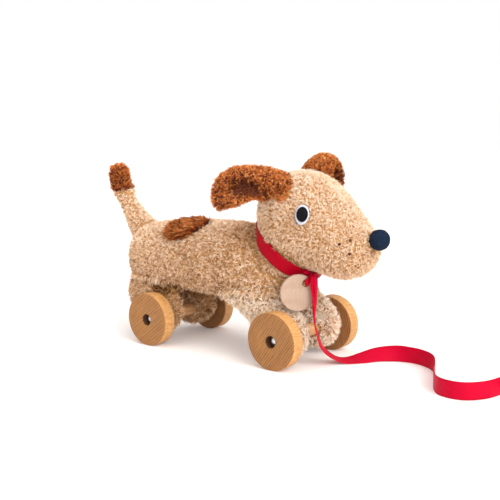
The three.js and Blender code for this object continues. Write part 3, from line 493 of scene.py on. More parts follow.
def coil_places():
    """The stored length: a coil on its edge, whose end turns in to the end knot."""
    def circle(mid, radius, turn):
        return [mid[0] - radius * math.cos(turn), mid[1] + radius * math.sin(turn), COIL_LEVEL]

    sweep = math.tau * COIL_TURNS
    straight = COIL_START, (COIL_START + COIL_MIDDLE[1]) / 2
    places = [[COIL_MIDDLE[0] - COIL_RADIUS, y, COIL_LEVEL] for y in straight]
    for turn in np.linspace(0, sweep, 85):
        places.append(circle(COIL_MIDDLE, COIL_RADIUS - COIL_PITCH * turn / (math.tau), turn))
    inner = COIL_RADIUS - COIL_PITCH * COIL_TURNS
    end_middle = circle(COIL_MIDDLE, inner - COIL_END_RADIUS, sweep)
    for turn in np.linspace(sweep, sweep + COIL_END_SWEEP, 15)[1:]:
        places.append(circle(end_middle, COIL_END_RADIUS, turn))
    turn = sweep + COIL_END_SWEEP
    heading = np.array([math.sin(turn), math.cos(turn), 0])
    places.append(list(np.array(places[-1]) + heading * RIBBON_WIDTH / 2))
    return np.array(places)


def ribbon_mesh(middles, widthways, halves, thick, gather, across=13):
    """A ribbon's skin round its middle line. Where it is gathered it is pleated along its length."""
    along = unit(np.gradient(middles, axis=0))
    widthways = unit(widthways - along * np.sum(along * widthways, 1)[:, None])
    through = np.cross(along, widthways)
    run = np.concatenate([[0], np.cumsum(np.linalg.norm(np.diff(middles, axis=0), axis=1))])
    u = np.linspace(-1, 1, across)
    pleat = np.sin(u * 1.5 * math.pi + 0.4) * gather[:, None]
    ripple = 0.12 * MM * np.sin(run * 260)[:, None] * u ** 2
    points = []
    for face in (1, -1):
        offset = pleat + ripple + face * thick / 2
        points.append(middles[:, None] + widthways[:, None] * (halves[:, None] * u)[..., None]
                      + through[:, None] * offset[..., None])
    ring = np.concatenate([points[0], points[1][:, ::-1]], 1)
    rows, columns = ring.shape[:2]
    side = np.tile(np.concatenate([u, u[::-1]]), rows)
    return ring.reshape(-1, 3), tube_faces(rows, columns), np.repeat(run, columns), side


def add_lead():
    rows = sample_rows(LEAD_ROUTE, 240)
    coil = coil_places()
    middles = toy(np.concatenate([rows[:, :3], coil]))
    widthways = np.concatenate([rows[:, 3:6], np.tile([0, 0, 1.0], (len(coil), 1))])
    share = np.concatenate([rows[:, 6], np.ones(len(coil))])
    halves = share * RIBBON_WIDTH / 2 * MM
    gather = np.clip(1 - share, 0, 0.7) ** 1.2 * 2.6 * MM
    points, faces, run, side = ribbon_mesh(middles, widthways, halves, RIBBON_THICK * MM, gather)
    lead = new_piece("lead", points, faces, "dog", RED, replaces=("lead_ribbon", "lead_coil"))
    ribbon_places(lead.data, run, side)
    paint("lead_end_knot", RED_STRAND)


add_lead()


# Plush

SKIN_CELL, EAR_CELL, PATCH_CELL = 1.9 * MM, 1.2 * MM, 0.8 * MM
FOLD_REACH = 20
PILE_DEPTH = 2.3  # the backing lies this far under the outside of the pile
ROOM_REACH = 20 * MM
BROWN = ["tail_tip_plush", "ear_right", "ear_left", "back_patch"]
LEGS = [f"leg_{end}_{side}" for end in ENDS for side in SIDES]
SOFT = ["torso_plush", "head_plush", "tail_plush", *BROWN, *LEGS]
# Pieces that lie on the pile or clear of it, so that the backing isn't held up under them
ON_PILE = ("lead", "collar", "ribbon", "tag", "name", "whisker", "eye", "pupil", "axle_pin", "head_washer")
NECK_MIDDLE = (61, 0, 94)
COLLAR_LEAN = math.radians(38)
COLLAR_UP = np.array([math.sin(COLLAR_LEAN), 0, math.cos(COLLAR_LEAN)])
COLLAR_AHEAD = np.array([math.cos(COLLAR_LEAN), 0, -math.sin(COLLAR_LEAN)])
COLLAR_RISE = 4.8
COLLAR_HALF = 5.25
RIBBON_HALF = 6.2  # the ribbon laid over the CAD band spreads a little, more so towards the body
RIBBON_DOWN = 0.9
collar_level = toy(NECK_MIDDLE) @ COLLAR_UP + COLLAR_RISE * MM


def smoothed(points, edges, rounds, share=0.5):
    ends = np.concatenate([edges, edges[:, ::-1]])
    count = np.maximum(np.bincount(ends[:, 0], minlength=len(points)), 1)[:, None]
    for _ in range(rounds):
        total = np.stack([np.bincount(ends[:, 0], points[ends[:, 1], k], len(points)) for k in range(3)], 1)
        points = points + share * (total / count - points)
    return points


def backing(name, cad_name, body, slot, cell, rounds):
    """The sewn shape under the pile: the CAD solid, remeshed, rounded and drawn in by the pile's depth."""
    source = new_object(name + "_source", nodes[cad_name].data.copy())
    remesh = source.modifiers.new("remesh", "REMESH")
    remesh.mode, remesh.voxel_size = "VOXEL", cell
    depsgraph = bpy.context.evaluated_depsgraph_get()
    mesh = bpy.data.meshes.new_from_object(source.evaluated_get(depsgraph))
    bpy.data.objects.remove(source)
    mesh.name = name
    points = smoothed(points_of(mesh), fetched(mesh.edges, "vertices", 2, np.int32), rounds)
    move_points(mesh, points)
    others = tree_of([n for n in nodes if n != cad_name and not n.startswith(ON_PILE)
                      and not (cad_name == "torso_plush" and n == "back_patch")])
    room = np.array([others.find_nearest(Vector(p), ROOM_REACH)[3] or ROOM_REACH for p in points])
    depth = PILE_DEPTH * MM * np.clip((room - 0.0006) / 0.005, 0.0, 1.0)
    move_points(mesh, points - normals_of(mesh) * depth[:, None])
    return dressed(mesh, body, PLUSH[slot][0], replaces=(cad_name,)), room


def scattered(mesh, room, spacing, rng, keep):
    """Random places on a mesh, about one to each square of the spacing, with their normals."""
    mesh.calc_loop_triangles()
    triangles = fetched(mesh.loop_triangles, "vertices", 3, np.int32)
    points, normals = points_of(mesh), normals_of(mesh)
    corners = points[triangles]
    area = np.linalg.norm(np.cross(corners[:, 1] - corners[:, 0], corners[:, 2] - corners[:, 0]), axis=1) / 2
    count = int(area.sum() / (spacing * MM) ** 2)
    total = np.cumsum(area)
    picks = np.searchsorted(total, (np.arange(count) + rng.random(count)) / count * total[-1])
    picks = np.minimum(picks, len(triangles) - 1)
    a, b = np.sqrt(rng.random(count)), rng.random(count)
    weights = np.stack([1 - a, a * (1 - b), a * b], 1)
    chosen = triangles[picks]
    places = np.einsum("ij,ijk->ik", weights, points[chosen])
    ways = unit(np.einsum("ij,ijk->ik", weights, normals[chosen]))
    near = np.einsum("ij,ij->i", weights, room[chosen])
    kept = (near > 0.0008) & keep(places)
    return places[kept], ways[kept], near[kept]


def slow_waves(places, rng, length, count=5):
    """A smooth random number from about -1 to 1 at each place."""
    total = np.zeros(len(places))
    for _ in range(count):
        wave = unit(rng.normal(size=3)) * math.tau / (length * MM) * rng.uniform(0.6, 1.4)
        total += np.sin(places @ wave + rng.uniform(0, 6.28))
    return total / count ** 0.5


def openness(cad_name, places, rng, aims=12):
    """1 where the plush faces open air, and towards 0 in a fold or a crease between two pieces."""
    search = tree_of([cad_name])
    trunk = ["torso_plush", *LEGS]
    around = tree_of(trunk) if cad_name in trunk else search
    found = np.ones(len(places))
    for i, place in enumerate(places):
        spot, way = search.find_nearest(Vector(place))[:2]
        for turn in unit(rng.normal(size=(aims, 3))) * 0.95:
            hit = around.ray_cast(spot + way * 0.3 * MM, (way + Vector(turn)).normalized(), FOLD_REACH * MM)
            found[i] -= 0 if hit[0] is None else 1 / aims
    return found


STATIONS = np.array([0.0, 0.4, 0.75, 1.0])  # a strand's places from foot to tip
STATION_WIDTHS = np.array([1.0, 0.85, 0.55])  # and its width at all but the last, where it ends in a point
STRAND_FACES = np.array([[0, 1, 3], [0, 3, 2], [2, 3, 5], [2, 5, 4], [4, 5, 6]])
BAKE_HALF = 0.008
MESH_LIMIT = 38000


def painted_shade_at(places, at, reach, depth):
    """How much painted shade takes off the plush's tone near a spot in millimetres, the same on the right and
    the left.
    """
    local = np.stack([places[:, 0] - origin[0], off_centre(places), places[:, 2]], 1) / MM
    return depth * np.exp(-np.sum(((local - at) / reach) ** 2, 1))


def pile(name, bed, slot, keep, shape, spacing=1.6, per_tuft=5, length=4.4, lean=0.75, width=0.54,
         tone_shift=0.0, lay=(-0.08, 0, -0.3), curling=1.6, crease=1.5, seam_shade=0.3, spread=0.1, painted_shade_spots=()):
    """Short curled pile in tufts, kept clear of its neighbours."""
    cad_name, skin, room, body, rng = bed
    tufts, ways, near = scattered(skin.data, room, spacing, rng, keep)
    count = len(tufts)
    outside = openness(cad_name, tufts, rng)
    flat = unit(np.cross(ways, rng.normal(size=(count, 3))))
    lay = np.array(lay)
    flat = unit(flat + lay - ways * (ways @ lay)[:, None])
    bend = np.cross(ways, flat)
    tuft_length = length * MM * rng.uniform(0.6, 1.25, count) * np.clip(1.5 * outside - 0.5, 0.2, 1)
    tuft_lean = lean * rng.uniform(0.4, 1.3, count)
    tuft_tone = 0.56 + tone_shift + spread * rng.normal(size=count) + 0.05 * slow_waves(tufts, rng, 26)
    # Painted light: tufts that face upwards get a higher, paler tone.
    tuft_tone += 0.16 * np.clip(ways[:, 2], -0.2, 1)
    # Painted shade: the tone goes down in folds and creases, where the CAD surface is closed in (the crease
    # weight), and within 5 mm of another piece (the seam weight).
    tuft_tone -= crease * (1 - outside) ** 1.6 + seam_shade * np.clip(1 - near / (5 * MM), 0, 1)
    # Painted shade spots take the tone down further.
    for spot in painted_shade_spots:
        tuft_tone -= painted_shade_at(tufts, *spot)
    curl = rng.uniform(-curling, curling, count)

    each = np.repeat(np.arange(count), per_tuft)
    total = len(each)
    turn, far = rng.uniform(0, math.tau, total), np.sqrt(rng.random(total)) * spacing * 0.45 * MM
    out = flat[each] * (np.cos(turn) * far)[:, None] + bend[each] * (np.sin(turn) * far)[:, None]
    n = unit(ways[each] + out / (6 * MM) + 0.16 * rng.normal(size=(total, 3)))
    t = unit(flat[each] + 0.3 * rng.normal(size=(total, 3)))
    t = unit(t - n * np.sum(n * t, 1)[:, None])
    b = np.cross(n, t)
    size = tuft_length[each] * rng.uniform(0.8, 1.1, total)
    leaning = tuft_lean[each] * rng.uniform(0.8, 1.2, total)
    twist = curl[each] + 0.25 * rng.normal(size=total)
    foot = tufts[each] + out - n * 0.5 * MM
    rise = size[:, None] * (STATIONS * 0.95 - 0.42 * leaning[:, None] * STATIONS ** 2)
    reach = size[:, None] * leaning[:, None] * (0.25 * STATIONS + 0.6 * STATIONS ** 2)
    swing = size[:, None] * 0.22 * twist[:, None] * np.sin(STATIONS * 3.6)
    gathering = -0.3 * (STATIONS ** 1.5)[:, None] * out[:, None]
    line = shape(foot[:, None] + n[:, None] * rise[..., None] + t[:, None] * reach[..., None]
                 + b[:, None] * swing[..., None] + gathering)
    tone = np.clip(tuft_tone[each] + 0.12 * rng.normal(size=total), 0.01, 0.99)
    flatways = unit(np.cross(line[:, 3] - line[:, 0], unit(rng.normal(size=(total, 3)))))
    strand_meshes(name, line, flatways, width, tone, body, slot)


def strand_meshes(name, line, flatways, width, tone, body, slot):
    """Strands as strips of five faces, in meshes of at most MESH_LIMIT strands."""
    halves = STATION_WIDTHS * width * MM / 2
    total = len(line)
    points = np.empty((total, 7, 3))
    for k in range(3):
        points[:, 2 * k] = line[:, k] - flatways * halves[k]
        points[:, 2 * k + 1] = line[:, k] + flatways * halves[k]
    points[:, 6] = line[:, 3]
    along = np.append(np.repeat(STATIONS[:3], 2), 1.0)
    apart = np.array([-1, 1, -1, 1, -1, 1, 0]) * BAKE_HALF
    parts = math.ceil(total / MESH_LIMIT)
    for part, chosen in enumerate(np.array_split(np.arange(total), parts)):
        some = len(chosen)
        mesh = bpy.data.meshes.new(f"{name}_{part + 1}" if parts > 1 else name)
        mesh.vertices.add(some * 7)
        move_points(mesh, points[chosen])
        corners = (np.arange(some)[:, None, None] * 7 + STRAND_FACES).reshape(-1)
        mesh.loops.add(len(corners))
        mesh.loops.foreach_set("vertex_index", corners.astype(np.int32))
        mesh.polygons.add(some * 5)
        mesh.polygons.foreach_set("loop_start", np.arange(0, len(corners), 3, dtype=np.int32))
        mesh.update(calc_edges=True)
        tones = np.repeat(tone[chosen], 7)
        alongs = np.tile(along, some)
        float_attribute(mesh, "tone", tones)
        float_attribute(mesh, "along", alongs)
        uv = np.stack([tones + np.tile(apart, some), 0.02 + 0.96 * alongs], 1)[corners]
        mesh.uv_layers.new(name="OFBake").uv.foreach_set("vector", uv.ravel().astype(np.float32))
        dressed(mesh, body, PLUSH[slot][1])


EAR_ROOTS = [(76.5, 33.5, 149, 7.5), (78, 28, 155.5, 6)]
HALF_WHEELBASE = 74.5
WHEEL_ROOM = 25.6 * MM
WHEEL_FACE = 35.2 * MM
NOSE_RADIUS = 8.8 * MM
OVAL_REACH = 9 * MM
OVAL_BACK = (90, 0, 120)  # the outward side of an oval is the one away from here
EYE_WHITE_DOWN = 0.8  # the felt shows a little more below the pupil than above it
EYE_WHITE_SHARE = (0.93, 0.98)
axles = [toy((x, 0, 0))[0] for x in (HALF_WHEELBASE, -HALF_WHEELBASE)]
nose_middle = middle("nose")
knots = [middle(n) for n in nodes if n.startswith("whisker")]


def off_centre(points):
    return np.abs(points[..., 1] - origin[1])


def beyond(places, spot, reach):
    """Which places are further from a spot than the reach."""
    return np.linalg.norm(places - spot, axis=1) > reach


def clear_of_wheels(line):
    """Pile beside a wheel lies flat against the plush, clear of the wheel's inner face."""
    for axle in axles:
        near = np.hypot(line[..., 0] - axle, line[..., 2] - axle_height) < WHEEL_ROOM
        over = near & (off_centre(line) > WHEEL_FACE)
        side = np.sign(line[..., 1] - origin[1])
        line[..., 1] = np.where(over, origin[1] + side * WHEEL_FACE, line[..., 1])
    line[..., 2] = np.maximum(line[..., 2], 0.6 * MM)
    return line


def band_level(places):
    """How far up the neck each place is from the middle of the collar's ribbon."""
    return places @ COLLAR_UP - collar_level + RIBBON_DOWN * MM


def under_band(places):
    return np.abs(band_level(places)) < (RIBBON_HALF - 0.5) * MM


def clear_of_band(line, overlap):
    """Pile beside the collar ends at its edge, and the head's pile hangs over it a little."""
    level = band_level(line)
    near = np.abs(level) < (RIBBON_HALF - overlap) * MM
    held = np.sign(level[:, :1]) * (RIBBON_HALF - overlap) * MM
    return line + np.where(near, held - level, 0)[..., None] * COLLAR_UP


def out_of_ball(line, centre, radius):
    away = line - centre
    far = np.linalg.norm(away, axis=-1, keepdims=True)
    return np.where(far < radius, centre + away / np.maximum(far, 1e-9) * radius, line)


def oval_of(name):
    """A patch's middle, its width and height directions, its outward direction and half sizes."""
    points = points_of(nodes[name].data)
    centre = (points.min(0) + points.max(0)) / 2
    ways = np.linalg.eigh(np.cov((points - points.mean(0)).T))[1]
    out = ways[:, 0] * np.sign(ways[:, 0] @ (centre - toy(OVAL_BACK)))
    tall = ways[:, 2] * np.sign(ways[2, 2])
    wide = np.cross(tall, out)
    local = (points - centre) @ np.stack([wide, tall, out], 1)
    return centre, wide, tall, out, (np.ptp(local, axis=0) / 2)


def oval_place(places, oval, margins):
    """Places in an oval's own directions, how far out each is as a share of the rim, and which are in it."""
    centre, *ways, half = oval
    local = (places - centre) @ np.stack(ways, 1)
    side, top = (margin * MM for margin in margins)
    far = np.hypot(local[..., 0] / (half[0] + side), local[..., 1] / (half[1] + top))
    return local, far, (far < 1) & (np.abs(local[..., 2]) < OVAL_REACH)


def in_oval(places, oval, margins):
    return oval_place(places, oval, margins)[2]


def out_of_oval(line, oval, margins):
    """Pile that would cover an oval ends at its rim."""
    local, far, inside = oval_place(line, oval, margins)
    push = np.where(inside, 1 / np.maximum(far, 0.05), 1.0)
    local[..., :2] *= push[..., None]
    return oval[0] + local @ np.stack(oval[1:4])


eye_ovals = [(centre - tall * EYE_WHITE_DOWN * MM, wide, tall, out, half * [*EYE_WHITE_SHARE, 1])
             for centre, wide, tall, out, half in [oval_of(f"eye_white_{side}") for side in SIDES]]
patch_oval = oval_of("back_patch")


def by_leg_seam(places):
    """The body's lower edge, where its pile hangs over the seams of the legs."""
    legs = tree_of(LEGS)
    near = np.array([legs.find_nearest(Vector(p), 5 * MM)[0] is not None for p in places])
    return near & (off_centre(places) > 16 * MM)


def by_ear_root(places):
    """The sewn roots of the ears, where the brown pile spreads over the head."""
    near = np.zeros(len(places), bool)
    for sign in SIDES.values():
        for x, y, z, radius in EAR_ROOTS:
            near |= ~beyond(places, toy((x, sign * y, z)), radius * MM)
    return near


def keep_head(places):
    kept = ~under_band(places) & ~by_ear_root(places)
    kept &= beyond(places, nose_middle, NOSE_RADIUS - 1 * MM)
    for knot in knots:
        kept &= beyond(places, knot, 2.6 * MM)
    for oval in eye_ovals:
        kept &= ~in_oval(places, oval, (-0.9, 0.2))
    return kept


def shape_head(line):
    line = clear_of_band(line, 0.5)
    line = out_of_ball(line, nose_middle, NOSE_RADIUS)
    for knot in knots:
        line = out_of_ball(line, knot, 1.8 * MM)
    for oval in eye_ovals:
        line = out_of_oval(line, oval, (-1.3, -0.25))
    return line


def keep_torso(places):
    return ~under_band(places) & ~in_oval(places, patch_oval, (-1.2, -1.2))


def shape_torso(line):
    return out_of_oval(clear_of_wheels(clear_of_band(line, 0.3)), patch_oval, (-1.0, -1.0))


def everywhere(places):
    return np.ones(len(places), bool)


# Spots of painted shade in the plush, as a place, how far they reach and how deep the shade is: the painted
# shadow of the head and ears on the neck behind them, and painted shade where a rear leg folds against the
# body above its wheel
NECK_PAINTED_SHADOW = ((30, 0, 116), (24, math.inf, 22), 0.3)
REAR_FOLD_PAINTED_SHADE = ((-66, 30, 53), (12, 8, 4.2), 1.3)
EAR_PILE = dict(spacing=1.3, per_tuft=4, width=0.48, seam_shade=0.1, spread=0.18, crease=2.6)
# Painted shade and light: the rear legs' tone is lowered for the shade under the body, the front legs' raised
# for the light falling on them.
LEG_PILE = {
    "rear": dict(length=6, crease=1.2, seam_shade=0.1, tone_shift=-0.2, painted_shade_spots=(REAR_FOLD_PAINTED_SHADE,)),
    "front": dict(length=6, crease=0.8, seam_shade=0, tone_shift=0.26, per_tuft=6, width=0.6),
}
PILE_OF = {
    # The torso's tone is a little lower than the head's, as painted shade.
    "torso_plush": dict(keep=keep_torso, shape=shape_torso, tone_shift=-0.11, crease=1.2, seam_shade=0.15,
                        spread=0.14, painted_shade_spots=(NECK_PAINTED_SHADOW, REAR_FOLD_PAINTED_SHADE)),
    "head_plush": dict(keep=keep_head, shape=shape_head, spacing=1.45, width=0.46, spread=0.09, seam_shade=0.1),
    "tail_tip_plush": dict(tone_shift=-0.18, length=5.5, lay=(-0.4, 0, 1.2), curling=1.0, seam_shade=0),
    "ear_right": dict(EAR_PILE, tone_shift=-0.1),
    # The left ear's lower tone is painted shade on its far, unlit side.
    "ear_left": dict(EAR_PILE, tone_shift=-0.2),
    "back_patch": dict(length=6, lean=1.2, tone_shift=-0.32, lay=(-1.8, -0.9, -0.8), curling=0.8, seam_shade=0,
                       spread=0.16, spacing=1.3),
}
PILE_OF.update({name: LEG_PILE[name.split("_")[1]] for name in LEGS})


def add_plush():
    for seed, cad_name in enumerate(SOFT, 100):
        rng = np.random.default_rng(seed)
        short = cad_name.replace("_plush", "")
        slot = "brown_plush" if cad_name in BROWN else "cream_plush"
        ear = short.startswith("ear")
        thin = cad_name == "back_patch"
        body = cad_name if ear else "dog"
        cell = PATCH_CELL if thin else EAR_CELL if ear else SKIN_CELL
        skin, room = backing(short + "_backing", cad_name, body, slot, cell, 1 if ear else 4)
        if thin:
            room = np.full(len(room), 1.0)
        bed = cad_name, skin, room, body, rng
        settings = dict(keep=everywhere, shape=clear_of_wheels) | PILE_OF.get(cad_name, {})
        pile(short + "_pile", bed, slot, **settings)
        if short == "torso":
            pile("seam_pile", bed, slot, by_leg_seam, shape_torso, length=8, lean=0.9, lay=(0, 0, -2.2),
                 curling=1.0, seam_shade=0, crease=0.6, painted_shade_spots=(REAR_FOLD_PAINTED_SHADE,))
        if short == "head":
            pile("ear_root_pile", bed, "brown_plush", by_ear_root, shape_head, length=5, seam_shade=0.1)


add_plush()


# Wheels and axles

WHEEL_BORE, WHEEL_EDGE = 2.3, 1.1
MOUTH_RADIUS, MOUTH_DEPTH = 5.2, 7.5
PIN_RADIUS, PIN_HEAD, PIN_RISE = 1.8, 4, 2.2
DOME = [(1, 0), (0.995, 0.18), (0.96, 0.4), (0.86, 0.64), (0.7, 0.82), (0.5, 0.93), (0.25, 0.985), (0.0, 1)]
GRAIN_TURNS = dict(zip(WHEELS, (-0.66, 0.2, -0.94, 1.1)))
GRAIN_KINDS = {"front": (1.0, 0.95), "rear": (0.8, 0.62)}  # its fineness and how much the lines show
# The left wheels' face colours are deeper as painted shade: their seen, inner faces lie under the body.
FACE_TINTS = {"right": ((150, 99, 46), (172, 119, 62)), "left": ((138, 90, 44), (162, 110, 58))}
FLECK_TINT = (102, 58, 20)


def turned_piece(name, profile, middle_at, side, body, material, replaces, sides=96):
    """A lathe piece from (radius, place along the axle) pairs in metres, outward from the dog's middle."""
    turns = np.linspace(0, math.tau, sides, endpoint=False)
    points = middle_at + [[r * math.cos(a), h * side, r * math.sin(a)] for r, h in profile for a in turns]
    faces = ring_faces(len(profile), sides)
    if profile[0] == profile[-1]:
        points = points[:-sides]
        faces = [tuple(i % len(points) for i in f) for f in faces]
    if side > 0:
        faces = [f[::-1] for f in faces]
    piece = new_piece(name, points, faces, body, material, replaces=replaces)
    piece.data.set_sharp_from_angle(angle=math.radians(50))


def rounded_corner(r, h, size, from_turn):
    """Points of a quarter circle, as (radius, place) pairs."""
    turns = np.linspace(from_turn, from_turn + math.pi / 2, 5)
    return [(r + size * math.cos(a), h + size * math.sin(a)) for a in turns]


def wheel_profile(inner, outer):
    """From the bore over the inner face, the tread and the outer face into the counterbore, and back."""
    edge, bore, mouth, floor = WHEEL_EDGE * MM, WHEEL_BORE * MM, MOUTH_RADIUS * MM, outer - MOUTH_DEPTH * MM
    profile = [(bore, inner)]
    profile += rounded_corner(axle_height - edge, inner + edge, edge, -math.pi / 2)
    profile += rounded_corner(axle_height - edge, outer - edge, edge, 0)
    return profile + [(mouth + 0.5 * MM, outer), (mouth + 0.1 * MM, outer - 0.2 * MM),
                      (mouth, outer - 0.7 * MM), (mouth, floor), (bore, floor), (bore, inner)]


def pin_profile(tip, top):
    """From the pointed tip in the dowel along the shank to the domed head."""
    shank, head, rise = PIN_RADIUS * MM, PIN_HEAD * MM, PIN_RISE * MM
    base = top - rise
    return [(0, tip), (shank, tip + shank), (shank, base), (head, base)] + [
        (head * r, base + rise * h) for r, h in DOME]


def span(name):
    """How far from the dog's middle plane a piece starts and ends."""
    return sorted(abs(v[1] - origin[1]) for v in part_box(name))


def add_wheels():
    for (end, side), name in WHEELS.items():
        centre = np.array([middle(name)[0], origin[1], axle_height])
        turn = GRAIN_TURNS[end, side]
        beech = wood(f"beech_{end}_{side}", *FACE_TINTS[side], FLECK_TINT, (0.06, turn, 0.1),
                     (0.21 + turn, 0.13, 0.37 * turn), *GRAIN_KINDS[end], tuple(centre))
        turned_piece(f"{name}_wood", wheel_profile(*span(name)), centre, SIDES[side], name, beech,
                     (name,))
        pin = f"axle_pin_{end}_{side}"
        turned_piece(f"{pin}_steel", pin_profile(*span(pin)), centre, SIDES[side], "dog", STEEL,
                     (pin,), 40)
        paint(f"head_washer_{end}_{side}", STEEL)
        paint(f"spacer_washer_{end}_{side}", NYLON)
    for end in ENDS:
        paint(f"axle_dowel_{end}", DOWEL)


add_wheels()


# Face

MUZZLE_MIDDLE = (112, 0, 105)
OVAL_EDGE = 0.96  # the rim beyond this share takes its level from here
# The rings of an oval patch: a share of its half sizes, and how far it falls below its dome
OVAL_RINGS = [(0.02, 0), (0.3, 0), (0.55, 0), (0.75, 0), (0.9, 0.05), (0.97, 0.2), (1.0, 0.55), (1.0, 1.3)]


def domed_oval(name, cad_name, material, dome, grow, down=0.0, segments=56):
    """An oval patch of felt or stitching that lies on the head's curve, with a rounded edge."""
    centre, wide, tall, out, half = oval_of(cad_name)
    half = half * np.array([*grow, 1.0])
    search = tree_of([cad_name])
    rings = []
    for share, fall in OVAL_RINGS:
        ring = []
        r = min(share, OVAL_EDGE) / max(1.0, *grow)
        for k in range(segments):
            a = math.tau * k / segments
            rim = wide * half[0] * math.cos(a) + tall * half[1] * math.sin(a)
            hit = search.ray_cast(Vector(centre + rim * r + out * 0.01), Vector(-out))[0]
            level = (np.array(hit) - centre) @ out if hit else half[2]
            level += (dome * (1 - share ** 2) - fall) * MM
            ring.append(centre + rim * share - tall * down * MM + out * level)
        rings.append(ring)
    faces = ring_faces(len(OVAL_RINGS), segments) + [tuple(range(segments))[::-1]]
    new_piece(name, np.array(rings).reshape(-1, 3), faces, "dog", material, replaces=(cad_name,))


def add_nose():
    """A velour ball with a soft, uneven surface."""
    mesh, points = ball("nose_ball", 5, NOSE_RADIUS)
    rng = np.random.default_rng(7)
    swell = 1 + 0.02 * slow_waves(points, rng, 9) + 0.012 * slow_waves(points, rng, 2.2)
    move_points(mesh, points * swell[:, None] + nose_middle)
    dressed(mesh, "dog", NAVY, replaces=("nose",))


def tube(line, radius, sides):
    """A closed tube round a line of points."""
    along = unit(np.gradient(line, axis=0))
    across = unit(np.cross(along, np.array([0.31, 0.52, 0.79])))
    up = np.cross(along, across)
    turns = np.linspace(0, math.tau, sides, endpoint=False)
    circle = np.cos(turns)[:, None] * across[:, None] + np.sin(turns)[:, None] * up[:, None]
    ring = line[:, None] + radius * circle
    return ring.reshape(-1, 3), tube_faces(len(line), sides)


def add_whisker_knot(which):
    """An embroidered knot: thread wound twice round itself and pulled down in the middle."""
    cad_name = "whisker_knot_" + which
    centre = middle(cad_name)
    out = unit(centre - toy(MUZZLE_MIDDLE))
    across = unit(np.cross(out, [0, 0, 1.0]))
    up = np.cross(across, out)
    t = np.linspace(0, 4 * math.pi, 60)
    radius = (0.75 + 0.12 * np.sin(t * 1.5)) * MM
    line = (centre[None] + across * (radius * np.cos(t))[:, None] + up * (radius * np.sin(t))[:, None]
            + out * ((-0.5 + 0.2 * np.sin(t / 2)) * MM)[:, None])
    points, faces = tube(line, 0.48 * MM, 7)
    new_piece("knot_" + which, points, faces, "dog", THREAD, replaces=(cad_name,))


def add_face():
    for side in SIDES:
        domed_oval(f"eye_{side}_felt", f"eye_white_{side}", WHITE, 0.15, EYE_WHITE_SHARE,
                   EYE_WHITE_DOWN)
        domed_oval(f"eye_{side}_stitching", f"pupil_{side}", BLACK, 0.45, (1.05, 1.06))
        for k in (1, 2, 3):
            add_whisker_knot(f"{side}_{k}")
    add_nose()


add_face()


# Collar, knot and tag

COLLAR_RADIUS = 33
KNOT_AT = (88.5, -14, 80.3)
KNOT_RADIUS = 4.6
TAG_HOLE = (91.62, -20.47, 74.1)
TAG_TURN = math.radians(35)
BUNCH_HALF = np.array([2.2, 1.3, 3.3])  # across the tag, out of it and up
BUNCH_OUT = 3.1


def band_radii(middle_at, turns, ways):
    """How far the CAD band's outer face is from the neck's middle, smoothed round the neck."""
    search = tree_of(["collar_ribbon"])
    levels = np.linspace(-0.9, 0.9, 9) * COLLAR_HALF * MM
    radii = np.full((len(turns), len(levels)), np.nan)
    for i, way in enumerate(ways):
        for j, level in enumerate(levels):
            hit = search.ray_cast(Vector(middle_at + COLLAR_UP * level + way * 0.09), Vector(-way))[0]
            if hit:
                radii[i, j] = (np.array(hit) - middle_at) @ way
    for column in radii.T:
        known = ~np.isnan(column)
        column[~known] = np.interp(turns[~known], turns[known], column[known], period=math.tau)
    for _ in range(6):
        radii = 0.5 * radii + 0.25 * (np.roll(radii, 1, 0) + np.roll(radii, -1, 0))
    return radii


def add_collar():
    """A ribbon round the neck, from the CAD band's outer face, pressed a little into the pile."""
    middle_at = toy(NECK_MIDDLE) + COLLAR_UP * COLLAR_RISE * MM
    turns = np.linspace(0, math.tau, 180, endpoint=False)
    ways = COLLAR_AHEAD * np.cos(turns)[:, None] + np.array([0, 1, 0]) * np.sin(turns)[:, None]
    radii = band_radii(middle_at, turns, ways)
    knot = toy(KNOT_AT) - middle_at
    knot_turn = math.atan2(knot[1], knot @ COLLAR_AHEAD)
    away = np.abs((turns - knot_turn + math.pi) % (math.tau) - math.pi)
    narrow = 1 - 0.5 * np.exp(-(away / 0.26) ** 2)
    crease = 0.35 * MM * np.exp(-(away / 0.3) ** 2)
    across = np.linspace(-1, 1, radii.shape[1])
    wave = (0.25 * np.sin(3 * turns + 0.7) + 0.15 * np.sin(7 * turns)) * MM
    rings = []
    for sink in (0.1, 0.6):
        radius = radii - sink * MM + crease[:, None] * np.cos(across * 9) - 0.25 * MM * across ** 4
        level = (across * RIBBON_HALF - RIBBON_DOWN) * MM * narrow[:, None] + wave[:, None]
        rings.append(middle_at + ways[:, None] * radius[..., None] + COLLAR_UP * level[..., None])
    ring = np.concatenate([rings[0], rings[1][:, ::-1]], 1)
    rows, columns = ring.shape[:2]
    faces = [tuple(i % (rows * columns) for i in f) for f in ring_faces(rows + 1, columns)]
    piece = new_piece("collar_band", ring.reshape(-1, 3), faces, "dog", SHADED_RED_RIBBON,
                      replaces=("collar_ribbon",))
    ribbon_places(piece.data, np.repeat(turns * COLLAR_RADIUS * MM, columns),
                  np.tile(np.concatenate([across, across[::-1]]), rows))


